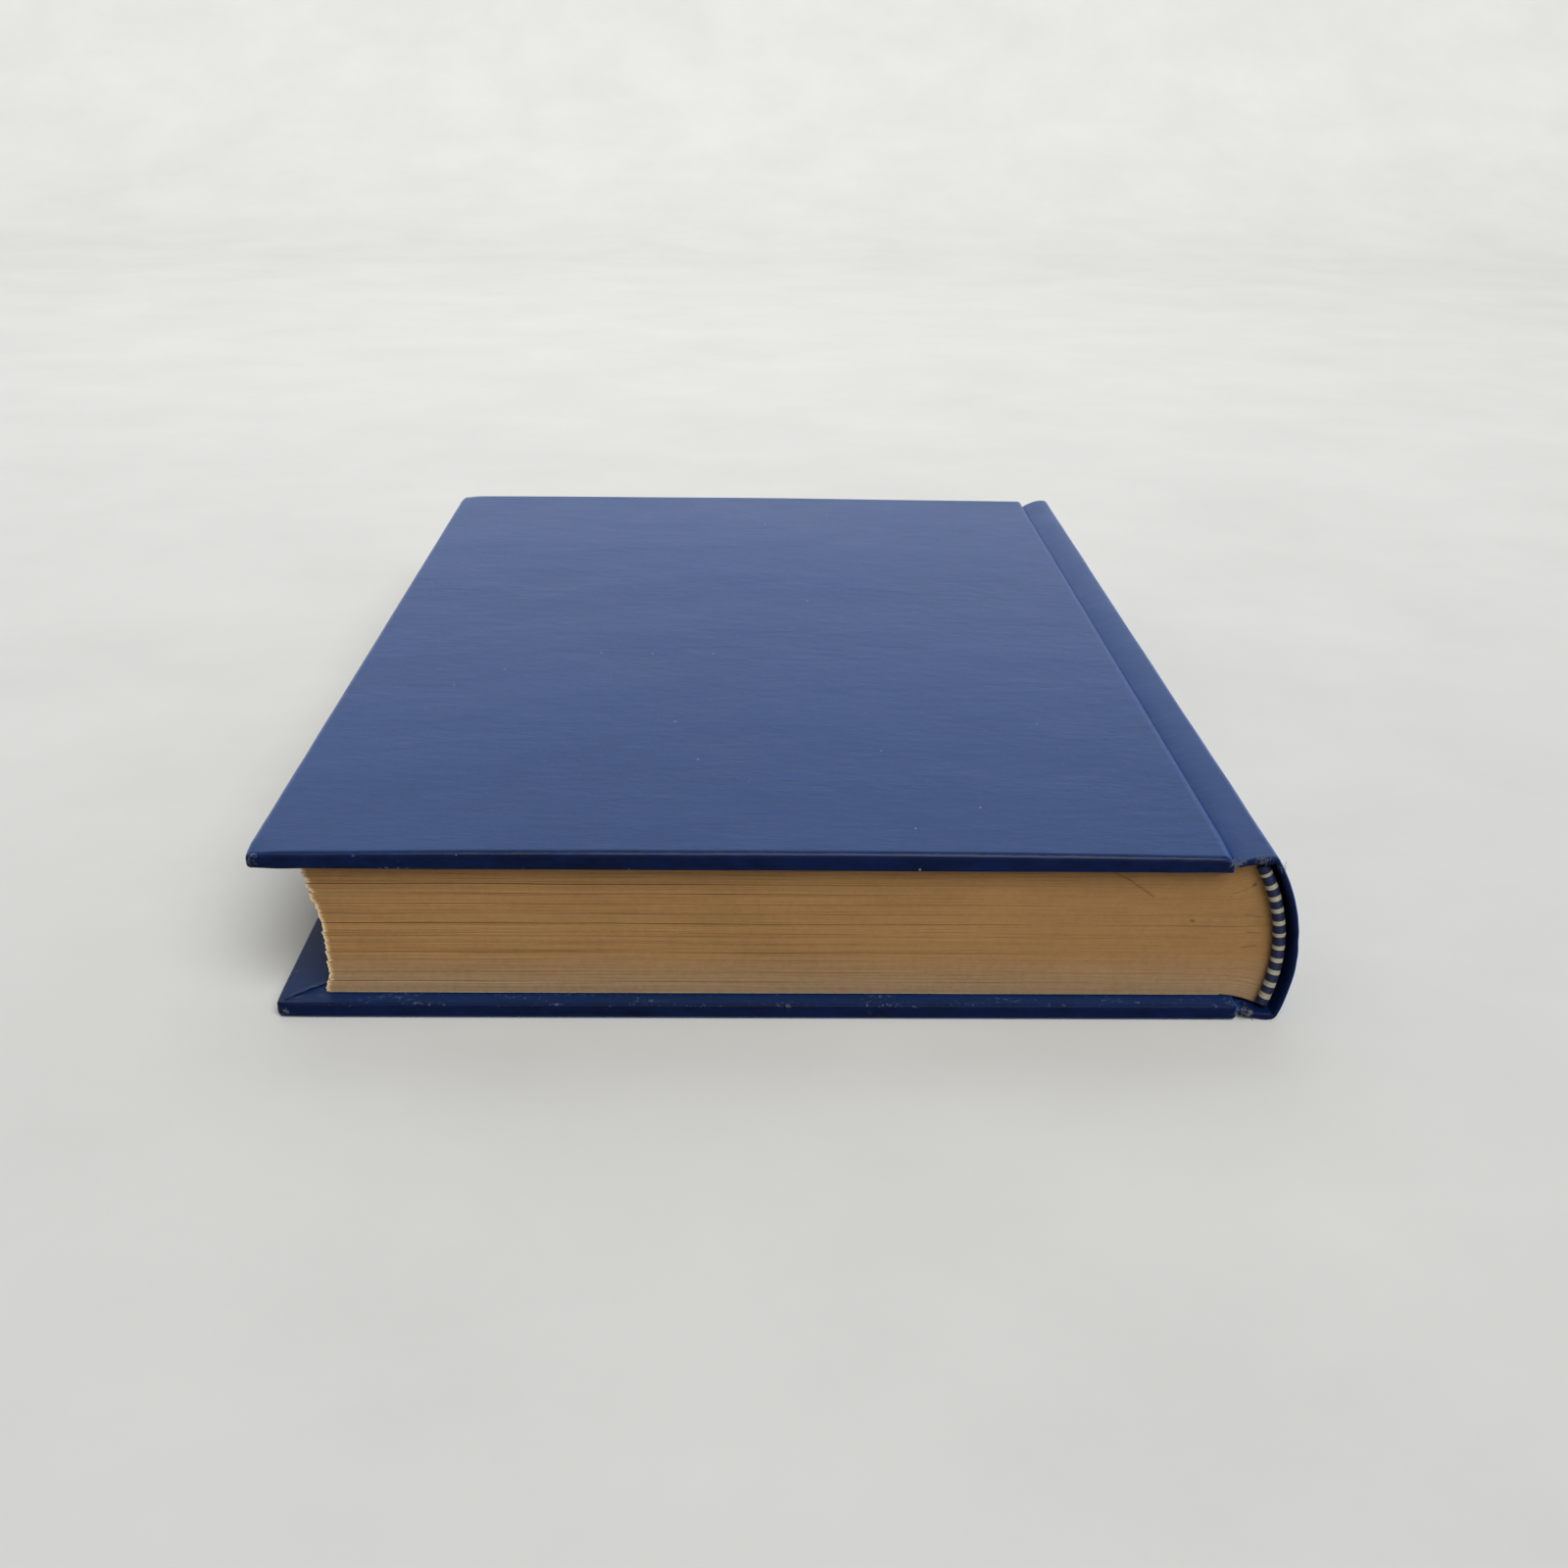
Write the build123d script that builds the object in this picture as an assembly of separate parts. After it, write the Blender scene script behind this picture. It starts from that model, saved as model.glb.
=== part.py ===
from build123d import *
import math
import os

# A case-bound book with a rounded back, lying on its back cover with its spine towards +X and
# its head towards -Y. Lengths are in millimetres.

# Case: boards and cloth
cover_height = 216.0          # head to tail, over the cloth
board_width = 133.8           # greyboard, fore edge to joint
board_thickness = 1.8
board_corner_radius = 1.2     # plan view, at the two fore-edge corners
board_edge_radius = 0.5
cloth_thickness = 0.3
turn_in_width = 15.0          # cloth folded onto the inside of the boards and of the spine
inlay_thickness = 0.6         # card strip inside the case's spine

# Book block
pages_thickness = 19.8
square = 3.0                  # how far the boards stand past the pages at head and tail
fore_edge_square = 5.6        # the same at the fore edge
fore_edge_hollow = 1.8        # depth of the hollow fore edge
shoulder_rise = 1.55          # how far backing turns the outer sections over
shoulder_run = 5.8            # length of pages that curve up into a shoulder
spine_round = 2.8             # rise of the rounded back above the line joining its shoulders
lean = 2.5                    # how far the book has settled towards the spine, bottom over top
section_standouts = (0.30, 0.55, 0.35, 0.60, 0.28, 0.45, 0.25, 0.40, 0.30, 0.50, 0.42, 0.55, 0.35)

# Papers and linings
leaf_thickness = 0.15         # each endpaper leaf
mull_thickness = 0.25
lining_thickness = 0.25
lining_inset = 2.0            # the lining stops this far inside the head and tail of the pages
glue_line = 0.03              # under each layer glued over the back
mull_flap_width = 25.0
mull_flap_thickness = 0.2
pastedown_margin = 4.0        # cloth left showing round the pastedown
seat_clearance = 0.1          # round what lies between its neighbours

# Headbands
band_radius = 0.9
band_tape_length = 12.0
band_wraps = 11               # cream wraps on the bead
band_wrap_height = 0.08
band_sides = 12               # flats round the bead, laid by its threads
band_end_angle = 1.5          # degrees of spine left bare at each end of a band

# Joints
joint_width = 4.8             # board to shoulder
groove_depth = 2.1            # bottom of the joint groove below the outside of the board
crest_radius = 1.6            # outside radius of the cloth over a shoulder
hollow_gap = 0.5              # between the lined spine and the turned-in cloth of the case
cover_clearance = 0.1         # between a closed cover and the endpaper leaf under it
groove_clearance = 0.3        # between a cover's cloth and the spine cloth in the groove

# Heights, from the floor up
cover_thickness = board_thickness + 2 * cloth_thickness
pages_bottom = cover_thickness + 2 * leaf_thickness + cover_clearance
pages_top = pages_bottom + pages_thickness
book_thickness = pages_top + pages_bottom

# Widths, from the fore edge of the front board
cover_width = board_width + 2 * cloth_thickness
pages_height = cover_height - 2 * square
half_cover = cover_height / 2
half_pages = pages_height / 2


def lean_at(z):
    """Sideways shift of the leaning book at height z, none at the top."""
    return lean * (1 - z / book_thickness)


# Rounded back: a circle through the two shoulder tips, bulging by spine_round
tip_top = (cover_width + joint_width + lean_at(pages_top + shoulder_rise), pages_top + shoulder_rise)
tip_bottom = (
    cover_width + joint_width + lean_at(pages_bottom - shoulder_rise),
    pages_bottom - shoulder_rise,
)
chord = math.dist(tip_top, tip_bottom)
back_radius = (chord**2 / 4 + spine_round**2) / (2 * spine_round)
back_half_angle = math.degrees(math.asin(chord / 2 / back_radius))
back_tilt = math.degrees(math.atan2(tip_bottom[0] - tip_top[0], tip_top[1] - tip_bottom[1]))
centre_drop = back_radius - spine_round
back_centre = (
    (tip_top[0] + tip_bottom[0]) / 2 - centre_drop * math.cos(math.radians(back_tilt)),
    (tip_top[1] + tip_bottom[1]) / 2 - centre_drop * math.sin(math.radians(back_tilt)),
)

# Layers over the back, outwards from the pages
mull_inner_radius = back_radius + glue_line
mull_radius = mull_inner_radius + mull_thickness
lining_inner_radius = mull_radius + glue_line
lining_radius = lining_inner_radius + lining_thickness
turn_in_radius = lining_radius + hollow_gap
inlay_radius = turn_in_radius + cloth_thickness
inlay_outer_radius = inlay_radius + inlay_thickness
case_radius = inlay_outer_radius + cloth_thickness
overall_width = back_centre[0] + case_radius


def back_point(radius, angle):
    """Point on a circle round the back's centre; the angle is in degrees above +X."""
    turn = math.radians(angle)
    return (back_centre[0] + radius * math.cos(turn), back_centre[1] + radius * math.sin(turn))


def slab(profile_face, y_low, y_high):
    """Solid from a face drawn in the X-Z plane, between two distances along the spine."""
    return extrude(Plane.XZ.offset(-y_low) * profile_face, amount=y_high - y_low, dir=(0, 1, 0))


def block(x_low, x_high, y_low, y_high, z_low, z_high):
    """Plain rectangular sheet or board between two corners."""
    size = (x_high - x_low, y_high - y_low, z_high - z_low)
    middle = ((x_low + x_high) / 2, (y_low + y_high) / 2, (z_low + z_high) / 2)
    return Pos(*middle) * Box(*size)


def ring_sector(inner, outer, angle_low, angle_high, y_low, y_high):
    """Curved sheet round the back's centre, between two radii and two angles."""
    middle = (angle_low + angle_high) / 2
    outline = [
        ThreePointArc(*(back_point(outer, a) for a in (angle_low, middle, angle_high))),
        Line(back_point(outer, angle_high), back_point(inner, angle_high)),
        ThreePointArc(*(back_point(inner, a) for a in (angle_high, middle, angle_low))),
        Line(back_point(inner, angle_low), back_point(outer, angle_low)),
    ]
    return slab(make_face(outline), y_low, y_high)


# Pages

def fore_edge_at(z):
    """Nominal fore edge of the pages at height z: a shallow hollow, with the book's lean."""
    share = (z - pages_bottom) / pages_thickness
    return fore_edge_square + fore_edge_hollow * 4 * share * (1 - share) + lean_at(z)


def fore_edge_lines():
    """Fore edge from top to bottom: each rough-cut section bulges by its own standout."""
    section = pages_thickness / len(section_standouts)
    lines = []
    for number, standout in enumerate(section_standouts):
        high = pages_top - number * section
        low = high - section
        middle = (high + low) / 2
        lines.append(
            ThreePointArc(
                (fore_edge_at(high), high),
                (fore_edge_at(middle) - standout, middle),
                (fore_edge_at(low), low),
            )
        )
    return lines


def pages():
    """Sewn sections as one solid: flat faces, a shoulder at each joint and a rounded back."""
    ramp_top = (tip_top[0] - shoulder_run, pages_top)
    ramp_bottom = (tip_bottom[0] - shoulder_run, pages_bottom)
    outline = fore_edge_lines() + [
        Line((fore_edge_at(pages_bottom), pages_bottom), ramp_bottom),
        TangentArc(ramp_bottom, tip_bottom, tangent=(1, 0)),
        ThreePointArc(tip_bottom, back_point(back_radius, back_tilt), tip_top),
        TangentArc(ramp_top, tip_top, tangent=(1, 0)),
        Line(ramp_top, (fore_edge_at(pages_top), pages_top)),
    ]
    return slab(make_face(outline), -half_pages, half_pages)


def flyleaf(z_low, ramp_start):
    """Free endpaper leaf on the pages, from the fore edge to where the shoulder starts."""
    z_high = z_low + leaf_thickness
    return block(fore_edge_at(z_low), ramp_start, -half_pages, half_pages, z_low, z_high)


# Spine of the block

def head_band():
    """Striped bead on the head of the pages, with its tape glued down over the back."""
    low = back_tilt - back_half_angle + band_end_angle
    high = back_tilt + back_half_angle - band_end_angle
    bead_y = -half_pages - band_radius - band_wrap_height
    tape_end = band_tape_length - half_pages
    tape = ring_sector(mull_inner_radius, mull_radius, low, high, bead_y, tape_end)
    core = bead_sector(band_radius, low, high, bead_y)
    stripe = (high - low) / (2 * band_wraps + 1)
    wraps = [
        bead_sector(band_radius + band_wrap_height, low + n * stripe, low + (n + 1) * stripe, bead_y)
        for n in range(1, 2 * band_wraps, 2)
    ]
    return tape + core + wraps


def bead_sector(radius, angle_low, angle_high, bead_y):
    """Round bead between two angles of the back, its outside flush with the tape."""
    section = Pos(mull_radius - band_radius, bead_y, 0) * RegularPolygon(radius, band_sides)
    swept = revolve(section, axis=Axis.Y, revolution_arc=angle_high - angle_low)
    return Pos(back_centre[0], 0, back_centre[1]) * Rot(0, -angle_high, 0) * swept


def mull():
    """Gauze over the sewn back, between the two bands' tapes."""
    reach = half_pages - band_tape_length - seat_clearance
    low, high = back_tilt - back_half_angle, back_tilt + back_half_angle
    return ring_sector(mull_inner_radius, mull_radius, low, high, -reach, reach)


def spine_lining():
    """Paper glued over the mull and the tapes."""
    reach = half_pages - lining_inset
    low = back_tilt - back_half_angle + band_end_angle
    high = back_tilt + back_half_angle - band_end_angle
    return ring_sector(lining_inner_radius, lining_radius, low, high, -reach, reach)


# Case spine

crest_top = book_thickness - crest_radius
crest_bottom = crest_radius


def crest_centre(z):
    """Centre of the round over a shoulder, tangent to the case's back and level with the boards."""
    reach = case_radius - crest_radius
    return (back_centre[0] + math.sqrt(reach**2 - (z - back_centre[1]) ** 2), z)


def crest_angle(z):
    """Angle at which the case's back runs into the round over a shoulder."""
    x = crest_centre(z)[0]
    return math.degrees(math.atan2(z - back_centre[1], x - back_centre[0]))


def groove_point(side):
    """Where the outside of the spine cloth starts, at the bottom of a joint groove."""
    board_face = book_thickness if side > 0 else 0.0
    shift = 0.0 if side > 0 else lean
    return (cover_width + groove_clearance + shift, board_face - side * groove_depth)


def flank_direction(z_crest, side):
    """Angle, from +X, of the normal to the sloping flank between groove and crest."""
    start = groove_point(side)
    centre = crest_centre(z_crest)
    away = math.degrees(math.atan2(start[1] - centre[1], start[0] - centre[0]))
    swing = math.degrees(math.acos(crest_radius / math.dist(start, centre)))
    return away - side * swing


def crest_point(z_crest, inset, angle):
    """Point of the round over a shoulder, a set distance inside the cloth's outside."""
    x, z = crest_centre(z_crest)
    turn = math.radians(angle)
    radius = crest_radius - inset
    return (x + radius * math.cos(turn), z + radius * math.sin(turn))


def case_side(inset, side):
    """Groove start, flank foot on the crest, crest middle and crest end, for one shoulder."""
    z_crest = crest_top if side > 0 else crest_bottom
    flank = flank_direction(z_crest, side)
    back = crest_angle(z_crest)
    start = groove_point(side)
    turn = math.radians(flank)
    return (
        (start[0] - inset * math.cos(turn), start[1] - inset * math.sin(turn)),
        crest_point(z_crest, inset, flank),
        crest_point(z_crest, inset, flank + ((back - flank + 180) % 360 - 180) / 2),
        crest_point(z_crest, inset, back),
    )


def spine_cloth():
    """Case cloth from groove to groove over both shoulders, turned in over the inlay's ends."""
    outer_top, outer_bottom = case_side(0, 1), case_side(0, -1)
    inner_top, inner_bottom = case_side(cloth_thickness, 1), case_side(cloth_thickness, -1)
    outline = [
        Line(outer_top[0], outer_top[1]),
        ThreePointArc(*outer_top[1:]),
        ThreePointArc(outer_top[3], back_point(case_radius, back_tilt), outer_bottom[3]),
        ThreePointArc(*reversed(outer_bottom[1:])),
        Line(outer_bottom[1], outer_bottom[0]),
        Line(outer_bottom[0], inner_bottom[0]),
        Line(inner_bottom[0], inner_bottom[1]),
        ThreePointArc(*inner_bottom[1:]),
        ThreePointArc(inner_bottom[3], back_point(inlay_outer_radius, back_tilt), inner_top[3]),
        ThreePointArc(*reversed(inner_top[1:])),
        Line(inner_top[1], inner_top[0]),
        Line(inner_top[0], outer_top[0]),
    ]
    sheet = slab(make_face(outline), -half_cover, half_cover)
    low, high = crest_angle(crest_bottom), crest_angle(crest_top)
    for end in (-1, 1):
        lip = ring_sector(
            turn_in_radius, inlay_outer_radius, low, high,
            *sorted((end * (half_cover - cloth_thickness), end * half_cover)),
        )
        turned = ring_sector(
            turn_in_radius, inlay_radius, low, high,
            *sorted((end * (half_cover - turn_in_width), end * half_cover)),
        )
        sheet += [lip, turned]
    return sheet


def spine_inlay():
    """Card strip that stiffens the case's spine, between the two shoulders."""
    reach = half_cover - cloth_thickness
    low, high = crest_angle(crest_bottom), crest_angle(crest_top)
    return ring_sector(inlay_radius, inlay_outer_radius, low, high, -reach, reach)


# Front cover, from which the back cover is mirrored

board_low = book_thickness - cloth_thickness - board_thickness
board_high = book_thickness - cloth_thickness
cover_inside = book_thickness - cover_thickness
board_end = cloth_thickness + board_width


def soft_slab(x_low, x_high, half_height, z_low, z_high, corner, edge):
    """Board with rounded fore-edge corners and softened edges."""
    body = block(x_low, x_high, -half_height, half_height, z_low, z_high)
    body = fillet(body.edges().filter_by(Axis.Z).group_by(Axis.X)[0], corner)
    return fillet(body.edges().group_by(Axis.Z)[-1] + body.edges().group_by(Axis.Z)[0], edge)


def board():
    """Greyboard of one cover."""
    return soft_slab(
        cloth_thickness, board_end, half_cover - cloth_thickness, board_low, board_high,
        board_corner_radius, board_edge_radius,
    )


def cover_cloth(greyboard):
    """Cloth round one board: its outside, its edges and the turn-ins on three sides."""
    outside = soft_slab(
        0, cover_width, half_cover, cover_inside, book_thickness,
        board_corner_radius + cloth_thickness, board_edge_radius + cloth_thickness,
    )
    reach = half_cover - turn_in_width
    window = block(turn_in_width, board_end, -reach, reach, cover_inside - cloth_thickness, board_low)
    return outside - greyboard - window


def mull_flap():
    """Wing of the mull, glued to the inside of a board along the joint."""
    reach = half_cover - turn_in_width - seat_clearance
    return block(
        board_end - mull_flap_width, board_end, -reach, reach, board_low - mull_flap_thickness, board_low
    )


def pastedown():
    """Pasted endpaper leaf: level over turn-ins and mull flap, sunk onto the bare board between."""
    reach = half_cover - pastedown_margin
    low = cover_inside - leaf_thickness
    leaf = block(pastedown_margin, board_end, -reach, reach, low, cover_inside)
    sunk_left = turn_in_width + seat_clearance
    sunk_right = board_end - mull_flap_width - seat_clearance
    sunk_reach = half_cover - turn_in_width - seat_clearance
    sunk = block(sunk_left, sunk_right, -sunk_reach, sunk_reach, low, board_low)
    dip = block(
        sunk_left + leaf_thickness, sunk_right - leaf_thickness,
        leaf_thickness - sunk_reach, sunk_reach - leaf_thickness,
        low, board_low - leaf_thickness,
    )
    return leaf + sunk - dip


def as_back(shape):
    """The same piece of the back cover: mirrored through the book and moved by its lean."""
    return Pos(lean, 0, 0) * mirror(shape, about=Plane.XY.offset(book_thickness / 2))


front_board = board()
front_pieces = {
    "board": front_board,
    "cover_cloth": cover_cloth(front_board),
    "mull_flap": mull_flap(),
    "pastedown": pastedown(),
}
band = head_band()
nodes = {
    "pages": pages(),
    "front_flyleaf": flyleaf(pages_top, tip_top[0] - shoulder_run),
    "back_flyleaf": flyleaf(pages_bottom - leaf_thickness, tip_bottom[0] - shoulder_run),
    "head_band": band,
    "tail_band": mirror(band, about=Plane.XZ),
    "mull": mull(),
    "spine_lining": spine_lining(),
    "spine_inlay": spine_inlay(),
    "spine_cloth": spine_cloth(),
}
for name, shape in front_pieces.items():
    nodes[f"front_{name}"] = shape
    nodes[f"back_{name}"] = as_back(shape)

os.makedirs("parts", exist_ok=True)
to_middle = Pos(-overall_width / 2, 0, 0)
for name, shape in nodes.items():
    export_step(to_middle * shape, f"parts/{name}.step")

hinge_x = cover_width + groove_clearance - overall_width / 2
print(f"overall {overall_width:.2f} x {cover_height:.2f} x {book_thickness:.2f}")
print(f"front joint x {hinge_x:.2f}, back joint x {hinge_x + lean:.2f}")
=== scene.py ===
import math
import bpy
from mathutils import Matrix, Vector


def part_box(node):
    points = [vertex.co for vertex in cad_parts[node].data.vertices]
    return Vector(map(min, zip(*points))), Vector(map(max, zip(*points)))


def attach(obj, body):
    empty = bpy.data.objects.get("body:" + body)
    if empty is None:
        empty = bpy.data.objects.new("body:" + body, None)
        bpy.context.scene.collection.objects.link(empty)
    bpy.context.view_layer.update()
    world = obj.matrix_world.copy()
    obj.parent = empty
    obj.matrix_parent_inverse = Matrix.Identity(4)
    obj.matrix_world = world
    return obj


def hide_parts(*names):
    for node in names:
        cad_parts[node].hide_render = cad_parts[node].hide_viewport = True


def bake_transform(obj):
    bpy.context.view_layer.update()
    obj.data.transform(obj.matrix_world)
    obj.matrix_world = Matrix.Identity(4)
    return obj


bl_info = {
    "name": "Cloth-bound Book",
    "version": (1, 0, 0),
    "blender": (4, 5, 0),
    "location": "3D View > Sidebar > Book",
    "description": "Dresses a packed case-bound book with leaves, bookcloth, headbands and endpapers",
    "category": "Object",
}

from types import SimpleNamespace

import bmesh
import bpy
import numpy as np
from mathutils import Matrix, Vector

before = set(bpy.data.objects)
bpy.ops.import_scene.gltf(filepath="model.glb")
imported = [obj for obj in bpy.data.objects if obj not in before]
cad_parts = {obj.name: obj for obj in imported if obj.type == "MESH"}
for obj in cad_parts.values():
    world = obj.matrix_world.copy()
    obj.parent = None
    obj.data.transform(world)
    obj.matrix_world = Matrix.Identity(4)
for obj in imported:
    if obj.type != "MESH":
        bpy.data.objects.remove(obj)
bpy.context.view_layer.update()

MM = 0.001
FRONT_LOW, FRONT_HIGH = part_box("front_cover_cloth")
BACK_LOW, BACK_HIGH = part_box("back_cover_cloth")
PAGES_LOW, PAGES_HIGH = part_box("pages")
PAGES_TOP, FLYLEAF_TOP = (corner.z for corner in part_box("front_flyleaf"))
PAGES_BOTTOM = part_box("back_flyleaf")[1].z
PASTEDOWN_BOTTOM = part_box("front_pastedown")[0].z
BOOK_THICKNESS = FRONT_HIGH.z
HALF_COVER = FRONT_HIGH.y
HALF_PAGES = PAGES_HIGH.y
LEAN = BACK_LOW.x - FRONT_LOW.x

# Each cover's body, the corners of its packed cloth, and the way its outside faces: 1 is up
COVERS = (("front_cover", FRONT_LOW, FRONT_HIGH, 1), ("back_cover", BACK_LOW, BACK_HIGH, -1))

# How far each rough-cut section stands out at the fore edge, from the top section down, in mm
SECTION_STANDOUTS = (0.30, 0.55, 0.35, 0.60, 0.28, 0.45, 0.25, 0.40, 0.30, 0.50, 0.42, 0.55, 0.35)

# Dark lines along a crease and wrinkles at the head, painted shade in their folds, and foxed spots: both ends
# in X and Z and the width in mm, strength
LEAF_MARKS = (
    ((44.2, 23.0), (48.6, 20.7), 0.25, 0.4),
    ((48.6, 20.7), (52.2, 18.1), 0.25, 0.5),
    ((57.9, 14.4), (58.2, 14.3), 0.35, 0.8),
    ((66.2, 20.0), (66.4, 20.1), 0.40, 0.8),
    ((63.5, 18.6), (66.5, 19.9), 0.18, 0.3),
    ((65.6, 15.3), (67.6, 15.0), 0.22, 0.45),
    ((66.0, 12.6), (67.8, 12.5), 0.22, 0.45),
    ((65.5, 10.2), (67.4, 10.5), 0.22, 0.45),
)

# Sheen, gloss and least roughness of the bookcloth on each part of the case; the duller edge and turn-in
# copies are partly wear and partly painted shade that darkens the sides
CLOTH_PARTS = {"face": (0.36, 0.13, 0.18), "turn_in": (0.16, 0.1, 0.38), "edge": (0.03, 0.05, 0.38)}


def linear(hex_code):
    """Scene-linear RGB of an sRGB hex colour."""
    parts = [int(hex_code[i : i + 2], 16) / 255 for i in (1, 3, 5)]
    return tuple(c / 12.92 if c <= 0.04045 else ((c + 0.055) / 1.055) ** 2.4 for c in parts)


def length(name, description, metres):
    return bpy.props.FloatProperty(
        name=name, description=description, default=metres, min=0.0, precision=5,
        subtype="DISTANCE", unit="LENGTH",
    )


def count(name, description, number, least, most):
    return bpy.props.IntProperty(name=name, description=description, default=number, min=least, max=most)


def colour(name, description, hex_code):
    return bpy.props.FloatVectorProperty(
        name=name, description=description, default=linear(hex_code), size=3, min=0.0, max=1.0,
        subtype="COLOR",
    )


class BookSizes(bpy.types.PropertyGroup):
    """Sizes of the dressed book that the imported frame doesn't give."""

    cloth: length("Cloth", "Thickness of one layer of bookcloth", 0.3 * MM)
    inlay: length("Inlay", "Room for the card in the case's spine", 0.6 * MM)
    card: length("Card", "Thickness of the card in the case's spine", 0.25 * MM)
    turn_in: length("Turn-in", "Width of the cloth folded onto the inside", 15 * MM)
    corner: length("Cover corner", "Plan radius of the rubbed cover corners", 0.9 * MM)
    joint_corner: length("Joint corner", "Plan radius of the cover's corners at the joint", 0.5 * MM)
    edge: length("Cover edge", "Radius of the cover's outer edges", 0.9 * MM)
    inner_edge: length("Inner edge", "Radius of the cover's inner edges", 0.45 * MM)
    joint_edge: length("Joint edge", "Radius of the cover's edge along the joint", 1.3 * MM)
    joint_reach: length("Joint reach", "Cloth drawn past the board into the joint", 0.9 * MM)
    bow: length("Cover bow", "How far the front cover has bowed up in the middle", 0.45 * MM)
    skew: length("Cover skew", "How far the fore edge runs out of square at the head", 0.75 * MM)
    joint_width: length("Joint", "From the covered board to the shoulder of the pages", 4.8 * MM)
    spine_round: length("Round", "Rise of the rounded back above its shoulders", 2.8 * MM)
    shoulder_run: length("Shoulder run", "Length of leaf that curves into a shoulder", 6.5 * MM)
    crest: length("Crest", "Radius of the cloth over a shoulder", 1.1 * MM)
    groove: length("Groove", "Depth of the joint groove", 1.3 * MM)
    groove_gap: length("Groove gap", "From the cover to the spine cloth", 0.35 * MM)
    head_rim: length("Head rim", "Thickness of the cloth folded over the card's ends", 0.8 * MM)
    band_shift: length("Band shift", "How far the bead stands out past the back", 0.45 * MM)
    back_layers: length("Back layers", "Mull, lining and glue over the pages' back", 0.56 * MM)
    mull: length("Mull", "Gauze or band tape and its glue over the back", 0.28 * MM)
    hollow_gap: length("Hollow", "Gap between the lined back and the case", 0.5 * MM)
    fore_square: length("Fore-edge square", "Cover standing past the pages", 5.6 * MM)
    fore_hollow: length("Fore-edge hollow", "Depth of the hollow fore edge", 1.8 * MM)
    pastedown_margin: length("Pastedown margin", "Cloth left showing at head and tail", 4 * MM)
    pastedown_fore: length("Pastedown fore margin", "Cloth left showing at the fore edge", 8.5 * MM)
    band_radius: length("Band radius", "Radius of the headband's bead", 0.9 * MM)
    leaves: count("Leaves", "Leaves drawn in the block", 150, 26, 400)
    band_stripes: count("Band stripes", "Cream stripes on each headband", 11, 1, 40)


class BookColours(bpy.types.PropertyGroup):
    """Colours of the book and its stage."""

    cloth: colour("Cloth", "Navy bookcloth", "#08153a")
    cloth_deep: colour("Cloth, deep", "Bookcloth where the filler is darkest", "#040a20")
    cloth_sheen: colour("Cloth sheen", "Light that skims over the cloth", "#4c92fd")
    rub: colour("Rubbed cloth", "Cloth fibre and card where the filler has worn off", "#666a72")
    fray: colour("Fray", "Loose fibre of the worn cloth", "#6d7280")
    dust: colour("Dust", "Specks and dust on the cloth", "#b9bcc2")
    leaf: colour("Leaf edge", "Toned paper at the cut edges", "#967146")
    # Painted shade in the gaps between sections and in the crease and wrinkles, and the colour of the foxed
    # spots
    leaf_shade_and_foxing: colour("Leaf edge, dark", "Paper in the gaps between sections", "#4a331d")
    # Painted highlight on leaves that stand out at the fore edge and on the lips above the gaps
    leaf_tip_highlight: colour("Leaf tip", "Paper where rough-cut leaves stand out", "#dcc195")
    leaf_dust: colour("Leaf dust", "Dust on the lower leaves", "#8a7e6c")
    endpaper: colour("Endpaper", "Flyleaves and pastedowns", "#dccdac")
    endpaper_toned: colour("Endpaper, toned", "Endpaper where it has browned", "#cdb78e")
    band_cream: colour("Band, cream", "Cream headband thread", "#a29e89")
    band_navy: colour("Band, navy", "Navy headband thread", "#10183a")
    board: colour("Greyboard", "Board and spine card", "#8d8478")
    lining: colour("Lining", "Kraft paper on the back", "#9a7448")
    gauze: colour("Gauze", "Starched mull", "#cbbd9d")
    floor: colour("Floor", "Paper sweep", "#cdcecc")


def sizes():
    return bpy.context.scene.book_sizes


def colours():
    return bpy.context.scene.book_colours


# Shapes


def smooth_step(low, high, value):
    t = np.clip((value - low) / (high - low), 0, 1)
    return t * t * (3 - 2 * t)


def ripples(u, v, wavelength, seed, waves=7):
    """Smooth uneven surface between about -1 and 1, made of a few seeded waves."""
    rng = np.random.default_rng(seed)
    u, v = np.broadcast_arrays(np.asarray(u, float), np.asarray(v, float))
    total = np.zeros(u.shape)
    for _ in range(waves):
        heading = rng.uniform(0, 2 * math.pi)
        pitch = 2 * math.pi / (wavelength * rng.uniform(0.6, 1.7))
        phase = rng.uniform(0, 2 * math.pi)
        total += np.sin(pitch * (u * math.cos(heading) + v * math.sin(heading)) + phase)
    return total / math.sqrt(waves * 2)


def make_piece(name, points, faces, materials, smooth=True):
    """New mesh object in the row frame, in metres."""
    mesh = bpy.data.meshes.new(name)
    mesh.from_pydata([tuple(p) for p in points], [], faces)
    for material in materials:
        mesh.materials.append(material)
    mesh.update()
    if smooth:
        mesh.shade_smooth()
    else:
        mesh.shade_flat()
    piece = bpy.data.objects.new(name, mesh)
    bpy.context.scene.collection.objects.link(piece)
    return piece


def store(piece, name, values):
    """Named number for every point, for the material to read."""
    layer = piece.data.attributes.new(name, "FLOAT", "POINT")
    layer.data.foreach_set("value", np.asarray(values, np.float32).ravel())


def points_of(mesh):
    flat = np.empty(len(mesh.vertices) * 3, np.float32)
    mesh.vertices.foreach_get("co", flat)
    return flat.reshape(-1, 3).astype(float)


def grid_quads(rows, columns, wrap_columns=False, wrap_rows=False):
    """Quads over a grid of points that is stored row by row."""
    quads = []
    for r in range(rows if wrap_rows else rows - 1):
        below, above = r * columns, (r + 1) % rows * columns
        for c in range(columns if wrap_columns else columns - 1):
            d = (c + 1) % columns
            quads.append((below + c, below + d, above + d, above + c))
    return quads


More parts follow.
